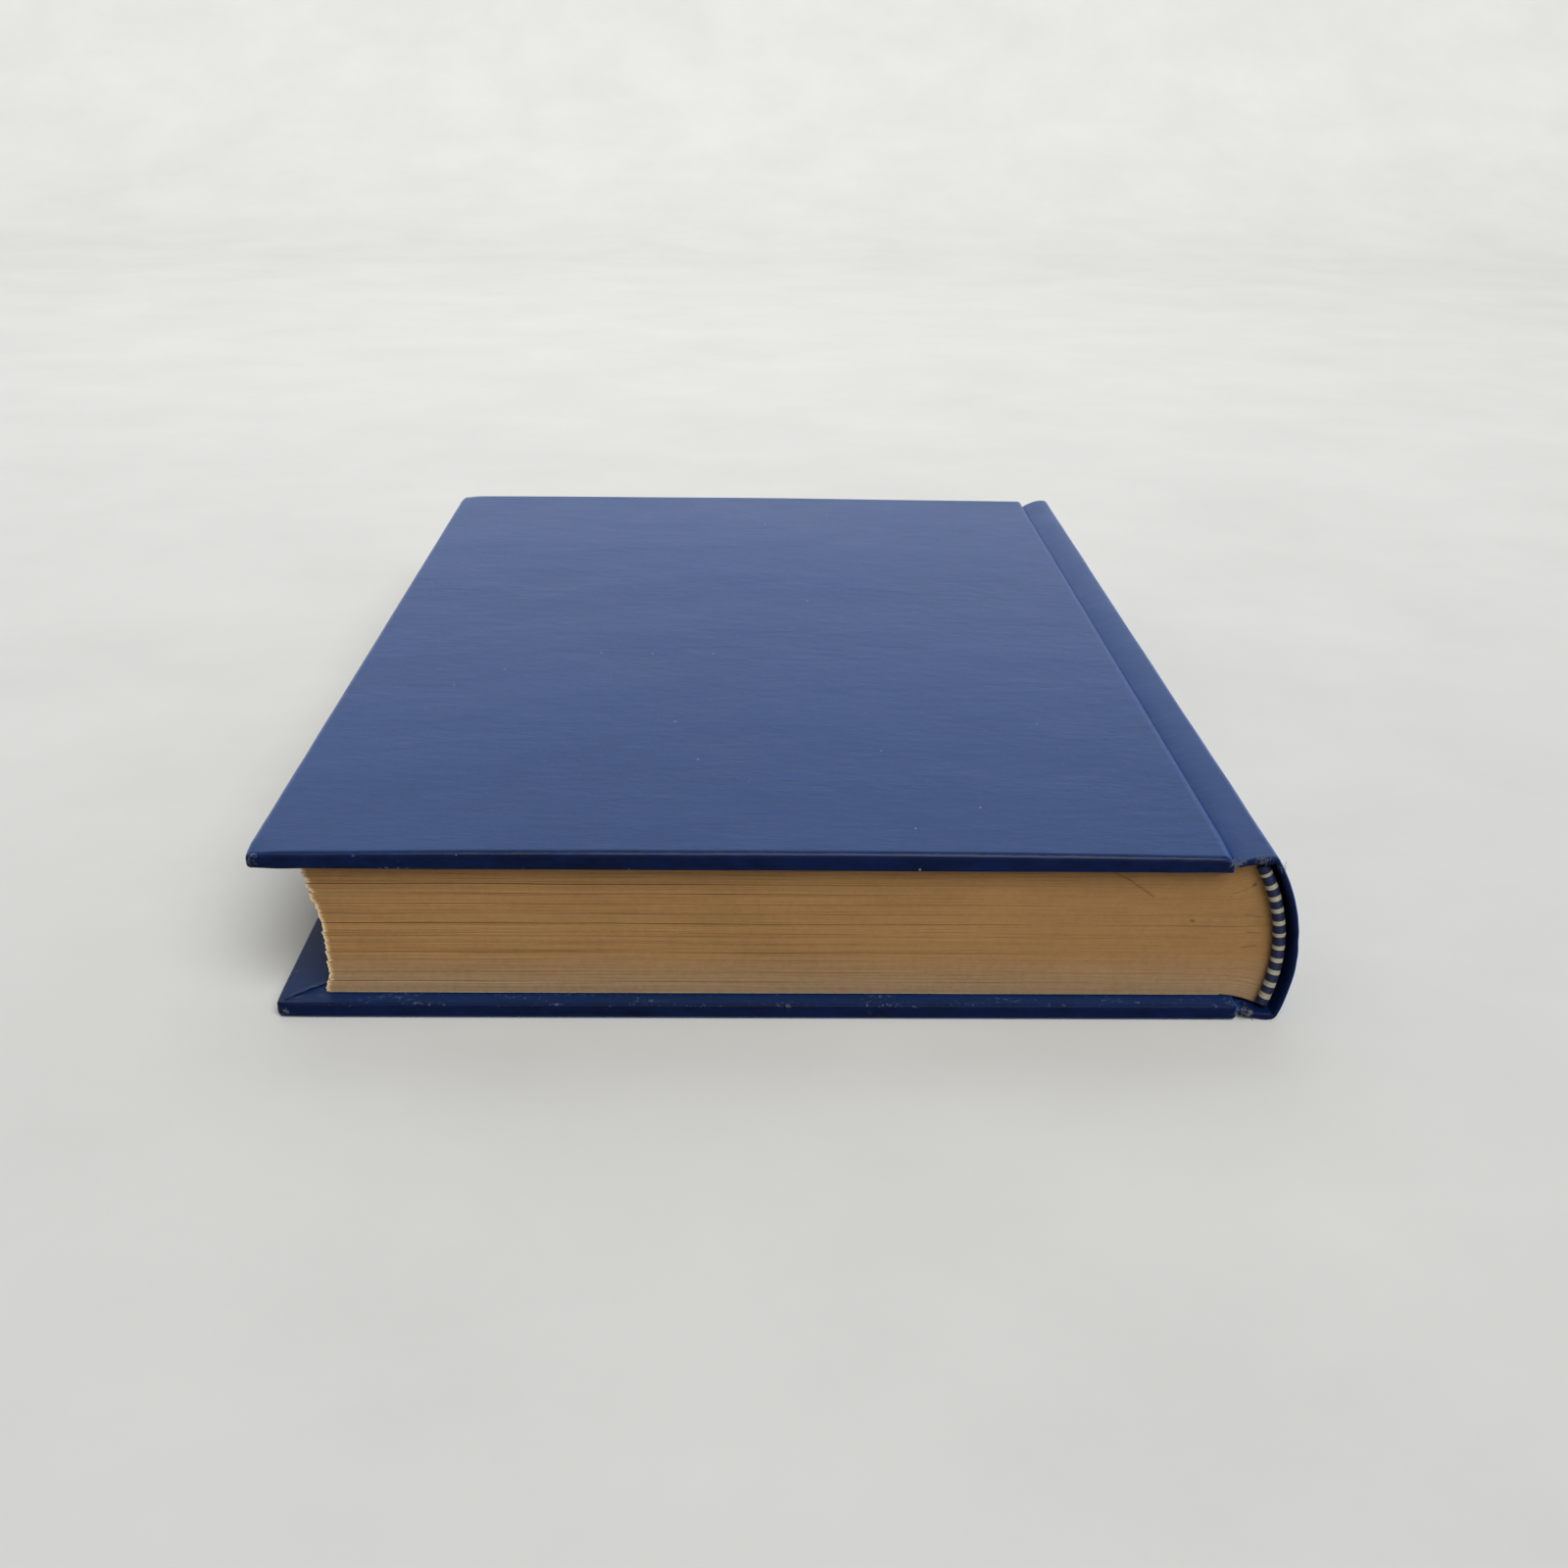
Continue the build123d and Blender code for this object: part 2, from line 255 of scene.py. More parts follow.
def face_outwards(piece):
    """Turns the faces of a closed piece outwards."""
    bm = bmesh.new()
    bm.from_mesh(piece.data)
    bmesh.ops.recalc_face_normals(bm, faces=bm.faces)
    bm.to_mesh(piece.data)
    bm.free()
    piece.data.update()


def make_sheet(name, x, y, upper, lower, material):
    """Closed thin sheet between two surfaces over a grid of X and Y."""
    rows, columns = x.shape
    total = rows * columns
    points = np.concatenate([np.stack([x, y, z], -1).reshape(-1, 3) for z in (upper, lower)])
    faces = grid_quads(rows, columns)
    faces += [tuple(total + i for i in quad[::-1]) for quad in faces]
    rim = list(range(columns))
    rim += [r * columns + columns - 1 for r in range(1, rows)]
    rim += [(rows - 1) * columns + c for c in range(columns - 2, -1, -1)]
    rim += [r * columns for r in range(rows - 2, 0, -1)]
    faces += [(a, total + a, total + b, b) for a, b in zip(rim, rim[1:] + rim[:1])]
    piece = make_piece(name, points, faces, [material])
    face_outwards(piece)
    piece.data.set_sharp_from_angle(angle=math.radians(40))
    return piece


def lean_at(z):
    """Sideways shift of the leaning book at height z, none at the top."""
    return LEAN * (1 - z / BOOK_THICKNESS)


def back_layout():
    """Circle of the rounded back and the layers round it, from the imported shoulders."""
    s = sizes()
    x = FRONT_HIGH.x + s.joint_width
    top, bottom = (Vector((x + lean_at(z), z)) for z in (PAGES_HIGH.z, PAGES_LOW.z))
    chord = (top - bottom).length
    radius = (chord**2 / 4 + s.spine_round**2) / (2 * s.spine_round)
    tilt = math.atan2(bottom.x - top.x, top.y - bottom.y)
    outward = Vector((math.cos(tilt), math.sin(tilt)))
    return SimpleNamespace(
        radius=radius, tilt=tilt, half_angle=math.asin(chord / 2 / radius),
        centre=(top + bottom) / 2 - outward * (radius - s.spine_round),
        case=radius + s.back_layers + s.hollow_gap + 2 * s.cloth + s.inlay,
    )


def on_back(layout, radius, angle):
    """X and Z of a point on a circle round the back's centre."""
    return layout.centre.x + radius * np.cos(angle), layout.centre.y + radius * np.sin(angle)


def back_strip(name, layout, angles, corners, material):
    """Closed strip round the back; corners are the radius and Y of its four edges in turn."""
    points = []
    for radius, y in corners:
        x, z = on_back(layout, radius, angles)
        points += [(a, y, b) for a, b in zip(x, z)]
    n = len(angles)
    faces = grid_quads(4, n, wrap_rows=True)
    faces += [(0, n, 2 * n, 3 * n), (n - 1, 2 * n - 1, 3 * n - 1, 4 * n - 1)]
    piece = make_piece(name, points, faces, [material], smooth=False)
    face_outwards(piece)
    return piece


# Materials


# Sockets of a colour mix, by number because their names repeat
MIX_FACTOR, MIX_A, MIX_B, MIX_RESULT = 0, 6, 7, 2


def rgba(value, share=1.0):
    """Colour with alpha, made darker or lighter by a share."""
    return (*(v * share for v in value), 1.0)


def per_mm(size):
    """Texture scale per metre from a feature's size in millimetres."""
    return 1 / (size * MM)


def fill(tree, node, sockets):
    """Sets or links a node's input sockets."""
    for key, value in sockets.items():
        if isinstance(value, bpy.types.NodeSocket):
            tree.links.new(value, node.inputs[key])
        else:
            node.inputs[key].default_value = value


def add_node(tree, kind, sockets=None, **settings):
    """Adds a node, sets it up, fills its input sockets and gives its outputs."""
    node = tree.nodes.new("ShaderNode" + kind)
    for name, value in settings.items():
        setattr(node, name, value)
    fill(tree, node, sockets or {})
    return node.outputs


def new_material(name):
    material = bpy.data.materials.new(name)
    material.use_nodes = True
    tree = material.node_tree
    return material, tree, tree.nodes["Principled BSDF"]


def bookcloth(name, sheen, gloss, roughness):
    """Calendered cotton bookcloth, starch filled and dyed navy: smooth with a low satin sheen, a
    faint grain across the cover, pale fibre where the filler is rubbed off, and specks of dust."""
    c = colours()
    material, tree, shader = new_material(name)
    place = add_node(tree, "TexCoord")["Object"]
    # Slubs about 2 mm apart and 5 mm long, coarser than the thread so that they show
    slubs = [per_mm(size) for size in (5.5, 1.9, 1.9)]
    stretched = add_node(tree, "Mapping", {"Vector": place, "Scale": slubs})["Vector"]
    coarse = {"Vector": stretched, "Scale": 1.0, "Detail": 5.0, "Roughness": 0.75}
    grain = add_node(tree, "TexNoise", coarse)["Fac"]
    cloud = add_node(tree, "TexNoise", {"Vector": place, "Scale": per_mm(45), "Detail": 4.0})["Fac"]
    tone = add_node(tree, "Math", {0: cloud, 1: 0.5, 2: grain}, operation="MULTIPLY_ADD")[0]
    dyed = add_node(tree, "MapRange", {"Value": tone, "From Min": 0.57, "From Max": 0.93})["Result"]
    # Dust specks 0.2 mm across, a few to the square centimetre
    cells = add_node(tree, "TexVoronoi", {"Vector": place, "Scale": per_mm(4.5), "Randomness": 1.0})
    fading = {"Value": cells["Distance"], "From Min": 0.01, "From Max": 0.05, "To Min": 0.6, "To Max": 0.0}
    near = add_node(tree, "MapRange", fading)["Result"]
    some = add_node(tree, "Math", {0: cells["Color"], 1: 0.7}, operation="GREATER_THAN")[0]
    speck = add_node(tree, "Math", {0: near, 1: some}, operation="MULTIPLY")[0]
    # Rubbed places, broken up by fibre just under a millimetre across
    rub = add_node(tree, "Attribute", attribute_name="rub")["Fac"]
    fibres = {"Vector": place, "Scale": per_mm(0.8), "Detail": 6.0, "Roughness": 0.75}
    fray = add_node(tree, "TexNoise", fibres)["Fac"]
    held = add_node(tree, "Math", {0: fray, 1: 0.74}, operation="MINIMUM")[0]
    worn = add_node(tree, "Math", {0: held, 1: 1.6, 2: rub}, operation="MULTIPLY_ADD")[0]
    bare = add_node(tree, "MapRange", {"Value": worn, "From Min": 1.2, "From Max": 1.45})["Result"]
    shown = rgba(c.cloth_deep)
    for share, tint in ((dyed, c.cloth), (speck, c.dust), (bare, c.rub)):
        layer = {MIX_FACTOR: share, MIX_A: shown, MIX_B: rgba(tint)}
        shown = add_node(tree, "Mix", layer, data_type="RGBA")[MIX_RESULT]
    polish = {
        "Value": tone, "From Min": 0.35, "From Max": 1.15,
        "To Min": roughness, "To Max": roughness + 0.1,
    }
    smooth = add_node(tree, "MapRange", polish)["Result"]
    dull = add_node(tree, "Math", {0: bare, 1: 0.35, 2: smooth}, operation="MULTIPLY_ADD")[0]
    # The glue under the cloth dries unevenly, so that it lies in slow waves
    wavy = add_node(tree, "Math", {0: cloud, 1: 8.0, 2: grain}, operation="MULTIPLY_ADD")[0]
    relief = add_node(tree, "Math", {0: fray, 1: bare, 2: wavy}, operation="MULTIPLY_ADD")[0]
    bump = add_node(tree, "Bump", {"Height": relief, "Strength": 0.6, "Distance": 0.16 * MM})["Normal"]
    fill(tree, shader, {
        "Base Color": shown, "Roughness": dull, "Normal": bump, "IOR": 1.5, "Specular IOR Level": gloss,
        "Sheen Weight": sheen, "Sheen Roughness": 0.7, "Sheen Tint": rgba(c.cloth_sheen),
    })
    return material


def mark_near(tree, place, first, last, width, strength):
    """Mask that fades out from a short line on the head edge, given by X and Z in millimetres."""
    start, end = (Vector((x * MM, -HALF_PAGES, z * MM)) for x, z in (first, last))
    run = (end - start).length
    heading = (end - start).normalized()
    offset = add_node(tree, "VectorMath", {0: place, 1: start}, operation="SUBTRACT")["Vector"]
    along = add_node(tree, "VectorMath", {0: offset, 1: heading}, operation="DOT_PRODUCT")["Value"]
    ends = {"Value": along, "From Min": 0.0, "From Max": run, "To Min": 0.0, "To Max": run}
    held = add_node(tree, "MapRange", ends)["Result"]
    nearest = add_node(tree, "VectorMath", {0: heading, "Scale": held}, operation="SCALE")["Vector"]
    distance = add_node(tree, "VectorMath", {0: offset, 1: nearest}, operation="DISTANCE")["Value"]
    fading = {
        "Value": distance, "From Min": 0.0, "From Max": width * MM, "To Min": strength, "To Max": 0.0,
    }
    return add_node(tree, "MapRange", fading)["Result"]


def leaf_edges(name):
    """Wood-pulp book paper seen on its cut edges: toned tan, streaked leaf by leaf, painted shade in
    the gaps between the sections, painted highlights where single leaves stand out, grey with dust on the
    lower leaves."""
    c = colours()
    material, tree, shader = new_material(name)
    place = add_node(tree, "TexCoord")["Object"]
    height, tone, loose, tip_highlight, gap = (
        add_node(tree, "Attribute", attribute_name=layer)["Fac"]
        for layer in ("leaf_height", "leaf_tone", "leaf_loose", "leaf_tip_highlight", "gap")
    )
    apart = add_node(tree, "SeparateXYZ", {"Vector": place})
    along = add_node(tree, "CombineXYZ", {"X": apart["X"], "Y": apart["Y"], "Z": height})["Vector"]
    # Leaves 0.13 mm thick drawn as streaks 0.3 mm high and 25 mm long, so that they show
    streaks = [per_mm(size) for size in (25, 25, 0.3)]
    stretched = add_node(tree, "Mapping", {"Vector": along, "Scale": streaks})["Vector"]
    fine = {"Vector": stretched, "Scale": 1.0, "Detail": 5.0, "Roughness": 0.7}
    streak = add_node(tree, "TexNoise", fine)["Fac"]
    stain = add_node(tree, "TexNoise", {"Vector": place, "Scale": per_mm(18), "Detail": 4.0})["Fac"]
    # Fibre ends and dust, just under a millimetre across
    specks = {"Vector": place, "Scale": per_mm(0.9), "Detail": 4.0, "Roughness": 0.7}
    fibre = add_node(tree, "TexNoise", specks)["Fac"]
    # Pressed tight towards the spine, where single leaves no longer show
    uneven = add_node(tree, "Math", {0: streak, 1: 0.5}, operation="SUBTRACT")[0]
    pressed = add_node(tree, "Math", {0: uneven, 1: loose, 2: 0.5}, operation="MULTIPLY_ADD")[0]
    # The top of the block is painted lighter, a painted light that lifts the shade the cover casts on it
    top_light_range = {"Value": height, "From Min": 13 * MM, "From Max": 18 * MM, "To Min": 0.0, "To Max": 0.35}
    painted_top_light = add_node(tree, "MapRange", top_light_range)["Result"]
    mixed = add_node(tree, "Math", {0: pressed, 1: painted_top_light}, operation="ADD")[0]
    for part, weight in ((tone, 0.6), (stain, 0.9), (fibre, 0.9)):
        mixed = add_node(tree, "Math", {0: part, 1: weight, 2: mixed}, operation="MULTIPLY_ADD")[0]
    browned = add_node(tree, "MapRange", {"Value": mixed, "From Min": 0.85, "From Max": 1.95})["Result"]
    # Dust settles on the lower leaves, in patches
    dusted = {"Value": height, "From Min": 6.5 * MM, "From Max": MM, "To Min": 0.0, "To Max": 0.8}
    settled = add_node(tree, "MapRange", dusted)["Result"]
    patchy = add_node(tree, "Math", {0: settled, 1: fibre}, operation="MULTIPLY")[0]
    # Painted shade in the gaps and creases and painted highlights on standing leaves, over the paper's own
    # tone and dust
    layers = [(browned, c.leaf), (patchy, c.leaf_dust), (tip_highlight, c.leaf_tip_highlight), (gap, c.leaf_shade_and_foxing)]
    layers += [(mark_near(tree, place, *mark), c.leaf_shade_and_foxing) for mark in LEAF_MARKS]
    shown = rgba(c.leaf, 0.66)
    for share, tint in layers:
        layer = {MIX_FACTOR: share, MIX_A: shown, MIX_B: rgba(tint)}
        shown = add_node(tree, "Mix", layer, data_type="RGBA")[MIX_RESULT]
    bump = add_node(tree, "Bump", {"Height": streak, "Strength": 0.5, "Distance": 0.08 * MM})["Normal"]
    fill(tree, shader, {
        "Base Color": shown, "Normal": bump, "Roughness": 0.85, "Specular IOR Level": 0.25,
    })
    return material


def plain_paper(name, pale, toned, fibre_mm, bump_mm, roughness):
    """Uncoated sheet, formed on a wire: matt, with clouded fibre and toned patches."""
    material, tree, shader = new_material(name)
    place = add_node(tree, "TexCoord")["Object"]
    clouds = {"Vector": place, "Scale": per_mm(30), "Detail": 6.0, "Roughness": 0.6}
    cloud = add_node(tree, "TexNoise", clouds)["Fac"]
    fibre = add_node(tree, "TexNoise", {"Vector": place, "Scale": per_mm(fibre_mm), "Detail": 4.0})["Fac"]
    tone = add_node(tree, "Math", {0: cloud, 1: fibre}, operation="ADD")[0]
    share = add_node(tree, "MapRange", {"Value": tone, "From Min": 0.7, "From Max": 1.3})["Result"]
    tints = {MIX_FACTOR: share, MIX_A: toned, MIX_B: pale}
    sheet = add_node(tree, "Mix", tints, data_type="RGBA")[MIX_RESULT]
    bump = add_node(tree, "Bump", {"Height": fibre, "Strength": 0.4, "Distance": bump_mm * MM})["Normal"]
    fill(tree, shader, {
        "Base Color": sheet, "Normal": bump, "Roughness": roughness, "Specular IOR Level": 0.3,
    })
    return material


def woven(name, thread, spacing_mm, roughness):
    """Plain weave of spun thread: rows of humps both ways, darker in the holes between them."""
    material, tree, shader = new_material(name)
    place = add_node(tree, "TexCoord")["Object"]
    wave = {"Vector": place, "Scale": per_mm(2 * spacing_mm), "Distortion": 0.6}
    warp, weft = (add_node(tree, "TexWave", wave, bands_direction=axis)["Fac"] for axis in "YZ")
    humps = add_node(tree, "Math", {0: warp, 1: weft}, operation="MAXIMUM")[0]
    tints = {MIX_FACTOR: humps, MIX_A: rgba(thread, 0.35), MIX_B: rgba(thread)}
    shade = add_node(tree, "Mix", tints, data_type="RGBA")[MIX_RESULT]
    bump = add_node(tree, "Bump", {"Height": humps, "Strength": 0.6, "Distance": 0.1 * MM})["Normal"]
    fill(tree, shader, {"Base Color": shade, "Normal": bump, "Roughness": roughness})
    return material


def band_thread(name, dye):
    """Mercerised cotton sewn over a cord: soft sheen along each wrap, a little fuzz and soil."""
    material, tree, shader = new_material(name)
    place = add_node(tree, "TexCoord")["Object"]
    soil = add_node(tree, "TexNoise", {"Vector": place, "Scale": per_mm(0.8), "Detail": 4.0})["Fac"]
    tints = {MIX_FACTOR: soil, MIX_A: rgba(dye, 0.6), MIX_B: rgba(dye, 1.1)}
    shade = add_node(tree, "Mix", tints, data_type="RGBA")[MIX_RESULT]
    fuzz = add_node(tree, "TexNoise", {"Vector": place, "Scale": per_mm(0.15), "Detail": 3.0})["Fac"]
    bump = add_node(tree, "Bump", {"Height": fuzz, "Strength": 0.4, "Distance": 0.05 * MM})["Normal"]
    fill(tree, shader, {
        "Base Color": shade, "Normal": bump, "Roughness": 0.6, "Specular IOR Level": 0.25,
        "Sheen Weight": 0.06,
    })
    return material


def material_for(make, name, *details):
    """One material of each name, made when it is first asked for."""
    return bpy.data.materials.get(name) or make(name, *details)


def cloth_material(part="face"):
    """Bookcloth on one part of the case: polished on the faces, duller folded in, dullest on edges, partly
    from handling and partly as painted shade that darkens the sides.
    """
    return material_for(bookcloth, f"filled_bookcloth_{part}", *CLOTH_PARTS[part])


def endpaper_material():
    pale, toned = rgba(colours().endpaper), rgba(colours().endpaper_toned)
    return material_for(plain_paper, "wove_endpaper", pale, toned, 0.5, 0.03, 0.8)


def board_material():
    board = colours().board
    return material_for(plain_paper, "pulp_greyboard", rgba(board), rgba(board, 0.6), 1.2, 0.12, 0.9)


# Pieces


def leaf_layers():
    """Leaves from the bottom up, with a thin gap under each section: arrays of each layer's lower
    and upper share of the block, its section, its place in the section and whether it is a gap."""
    leaves, sections = sizes().leaves, len(SECTION_STANDOUTS)
    gap_shares = np.random.default_rng(41).uniform(0.25, 1.0, sections) ** 1.5 * 1.1
    rows = []
    for leaf in range(leaves):
        section = leaf * sections // leaves
        low, high = leaf / leaves, (leaf + 1) / leaves
        if leaf and section != (leaf - 1) * sections // leaves:
            split = low + gap_shares[section] / leaves
            rows.append((low, min(split, high - 0.1 / leaves), section, True))
            low = rows[-1][1]
        rows.append((low, high, section, False))
    low, high, section, gap = (np.array(column) for column in zip(*rows))
    place = (low + high) / 2 * sections - section
    return low, high, section, place, gap


class BOOK_OT_leaves(bpy.types.Operator):
    """Sewn leaves: smooth at the head, rough cut at the fore edge, fanned into two shoulders"""

    bl_idname = "book.leaves"
    bl_label = "Leaves"

    HEAD_COLUMNS = 60
    FORE_COLUMNS = 90
    # Leaves that were cut together, how far a gap lies back at the fore edge, and the lowest leaves
    CLUMP = 4
    GAP_BACK = 0.3 * MM
    LOWEST_BACK = 0.7 * MM

    def execute(self, context):
        s, layout = sizes(), back_layout()
        low, high, section, place, gap = leaf_layers()
        layers, sections = len(low), len(SECTION_STANDOUTS)
        rng = np.random.default_rng(23)
        standout = np.array(SECTION_STANDOUTS[::-1])[section]
        clumps = np.repeat(rng.normal(0, 0.07, layers // self.CLUMP + 1), self.CLUMP)[:layers]
        leaf_out = clumps + rng.normal(0, 0.03, layers) + 0.25 * (rng.random(layers) < 0.04)
        leaf_in = np.abs(rng.normal(0, 0.035, layers))
        leaf_in = leaf_in + np.abs(rng.normal(0, 0.06, sections))[section]
        tone = rng.normal(0, 0.3, layers)
        gap_depth = (rng.uniform(0.1, 1.0, sections) ** 3)[section]

        # Each layer has a lower and an upper row of points, level with each other at its edges
        row = np.repeat(np.arange(layers), 2)[:, None]
        is_gap = gap[row]
        share = np.stack([low, high], 1).reshape(-1, 1)
        middle = 4 * share * (1 - share)
        spread = PAGES_TOP - PAGES_BOTTOM
        flat_z = PAGES_BOTTOM + share * spread
        end_x, end_z = on_back(layout, layout.radius, layout.tilt + (2 * share - 1) * layout.half_angle)
        fore_x = FRONT_LOW.x + s.fore_square + s.fore_hollow * middle + lean_at(flat_z)
        fore_x = fore_x + self.LOWEST_BACK * smooth_step(0.45, 0.15, share)
        bulge = (0.1 + 0.9 * place**0.8)[row]

        def fore_edge(y):
            """X of the rough fore edge for every row, at distances along the spine."""
            uneven = ripples(y / MM, section[row] * 37.0, 60, 5)
            own = ripples(y / MM, row * 11.0, 24, 9)
            out = standout[row] * (bulge * (0.8 + 0.35 * uneven) + 0.25 * uneven)
            out = out + leaf_out[row] * (0.7 + 0.5 * own) + 0.07 * own
            return fore_x - np.where(is_gap, -self.GAP_BACK, out * MM)

        def leaf_z(x):
            """Height of every row at x: level, then curving into its place on the back."""
            climb = np.clip((x - (end_x - s.shoulder_run)) / s.shoulder_run, 0, 1) ** 2
            across = (x - FRONT_LOW.x) / (FRONT_HIGH.x - FRONT_LOW.x)
            wave = ripples(x / MM, share * 30, 45, 3) * 0.10 + ripples(x / MM, share * 40, 16, 4) * 0.05
            quiet = middle * (1.15 - 0.8 * across) * (1 - climb)
            return flat_z + (end_z - flat_z) * climb + wave * quiet * MM

        # Columns lie closer together near the spine and the fore edge
        t = np.linspace(0, 1, self.HEAD_COLUMNS)
        t = (0.5 - 0.5 * np.cos(math.pi * t))[None, :] ** 0.85
        under_gap = np.append(gap[1:], False)[row]
        ends = []
        for side in (-1, 1):
            x = end_x + (fore_edge(np.array([[side * HALF_PAGES]])) - end_x) * t
            drift = ripples(x / MM, section[row] * 17.0, 30, 40 + side)
            opening = gap_depth[row] * (0.02 + 0.98 * t**2.5) * (0.75 + 0.5 * drift)
            recess = np.where(is_gap, np.clip(opening, 0, 1.2), 0) + leaf_in[row] * (0.3 + 0.7 * t)
            recess = recess + 0.03 * ripples(x / MM, row * 7.0, 20, 50 + side)
            y = side * (HALF_PAGES - np.clip(recess, 0, None) * MM)
            # Painted highlight on the lip of the leaf just under a gap, and on the corner at the fore edge
            lip_highlight = under_gap * np.clip((opening - 0.25) * (0.4 + 0.6 * drift), 0, 0.16)
            tip_highlight = np.where(is_gap, 0, np.maximum(smooth_step(0.996, 1.0, t), lip_highlight))
            # Painted shade in each gap between sections, deeper where the gap opens wider
            painted_gap_shade = np.where(is_gap, np.clip(opening / 0.5, 0.02, 1), 0)
            ends.append((x, y, leaf_z(x), tip_highlight, painted_gap_shade))
        y = np.linspace(-HALF_PAGES, HALF_PAGES, self.FORE_COLUMNS + 2)[None, 1:-1]
        x = fore_edge(y)
        # Painted highlight on leaves that stand out at the fore edge, stronger the further they stand out
        tip_highlight = np.clip(((fore_x - x) / MM - 0.1) / 0.9, 0, 1)
        fore = (x, np.broadcast_to(y, x.shape), leaf_z(x), tip_highlight, is_gap * np.ones_like(x))
        x, y, z, tip_highlight, painted_gap_shade = (
            np.concatenate([head, between, tail[:, ::-1]], 1)
            for head, between, tail in zip(ends[0], fore, ends[1])
        )

        rows, wide = x.shape
        points = np.stack([x, y, z], -1).reshape(-1, 3)
        faces = grid_quads(rows, wide, wrap_columns=True)
        n = self.HEAD_COLUMNS
        for base in (0, (rows - 1) * wide):
            for c in range(n - 1):
                faces.append((base + c, base + c + 1, base + wide - 2 - c, base + wide - 1 - c))
            faces.append(tuple(base + c for c in range(n - 1, wide - n + 1)))
        material = material_for(leaf_edges, "toned_leaf_edges")
        piece = make_piece("leaves", points, faces, [material], smooth=False)
        face_outwards(piece)
        loose = np.concatenate([t, np.ones((1, self.FORE_COLUMNS)), t[:, ::-1]], 1)
        store(piece, "leaf_tone", tone[row] * (0.25 + 0.75 * loose**1.5))
        store(piece, "leaf_loose", 0.35 + 0.65 * loose * np.ones((rows, 1)))
        store(piece, "leaf_height", share * spread * np.ones((1, wide)))
        store(piece, "leaf_tip_highlight", np.clip(tip_highlight, 0, 1))
        store(piece, "gap", painted_gap_shade)
        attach(piece, "book_block")
        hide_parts("pages")
        return {"FINISHED"}


def board_ring(low, high, inset, z):
    """Outline of a covered board, drawn in by an inset that is larger along the joint."""
    s = sizes()
    joint = inset * s.joint_edge / s.edge
    left, right, reach = low.x + inset, high.x - joint, high.y - inset
    fore = max(s.corner - inset, 0.1 * MM)
    spine = max(s.joint_corner - joint, 0.05 * MM)
    points = []
    for x, y, radius, first in (
        (left, -reach, fore, math.pi), (right, -reach, spine, 1.5 * math.pi),
        (right, reach, spine, 0.0), (left, reach, fore, 0.5 * math.pi),
    ):
        middle_x = x + radius if x == left else x - radius
        middle_y = y - math.copysign(radius, y)
        for angle in first + np.linspace(0, math.pi / 2, 7):
            points.append((middle_x + radius * math.cos(angle), middle_y + radius * math.sin(angle), z))
    return points


def covered_board(name, low, high, outside):
    """Board in its cloth as a soft slab; outside is 1 for a cover that faces up, -1 for down."""
    s = sizes()
    high = high + Vector((s.joint_reach, 0, 0))
    thickness = high.z - low.z
    turn = np.linspace(0, math.pi / 2, 6)
    profile = [(s.inner_edge * (1 - math.sin(a)), s.inner_edge * (1 - math.cos(a))) for a in turn]
    profile += [(s.edge * (1 - math.cos(a)), thickness - s.edge * (1 - math.sin(a))) for a in turn]
    bm = bmesh.new()
    corners = []
    for inset, rise in profile:
        ring = board_ring(low, high, inset, low.z + rise if outside > 0 else high.z - rise)
        corners.append([bm.verts.new(point) for point in ring])
    for below, above in zip(corners, corners[1:]):
        for i in range(len(below)):
            bm.faces.new((below[i - 1], below[i], above[i], above[i - 1]))
    bm.faces.new(corners[0])
    bm.faces.new(corners[-1])
    bmesh.ops.recalc_face_normals(bm, faces=bm.faces)

    def cut(axis, values):
        normal = Vector((0, 0, 0))
        normal[axis] = 1
        for value in values:
            geometry = bm.verts[:] + bm.edges[:] + bm.faces[:]
            bmesh.ops.bisect_plane(bm, geom=geometry, plane_co=normal * value, plane_no=normal, dist=1e-7)

    near = np.array([1.0, 1.4, 1.9, 2.5, 3.2, 4.0, 5.0, 6.5, 8.5, 11, 15]) * MM
    cut(0, [*(low.x + near), *np.linspace(low.x + 0.020, high.x - 0.012, 17), *(high.x - near[1:9])])
    cut(1, [*(low.y + near), *np.linspace(low.y + 0.022, high.y - 0.022, 22), *(high.y - near)])
    piece = make_piece(name, [], [], [cloth_material(part) for part in ("face", "edge", "turn_in")])
    bm.to_mesh(piece.data)
    bm.free()
    piece.data.shade_smooth()
    return piece


def keep_flats_flat(piece):
    """Weights the shading by face size, so that broad faces look flat beside soft edges."""
    modifier = piece.modifiers.new("flat_faces", "WEIGHTED_NORMAL")
    modifier.mode = "FACE_AREA"
    modifier.weight = 80


def spot_rub(points, spots):
    """Rubbed share of each point near a list of (x, y, z, radius, strength) in millimetres."""
    rub = np.zeros(len(points))
    for x, y, z, radius, strength in spots:
        distance = np.linalg.norm(points / MM - np.array((x, y, z)), axis=1)
        rub = np.maximum(rub, strength * (1 - smooth_step(0.25, 1.0, distance / radius)))
    return rub


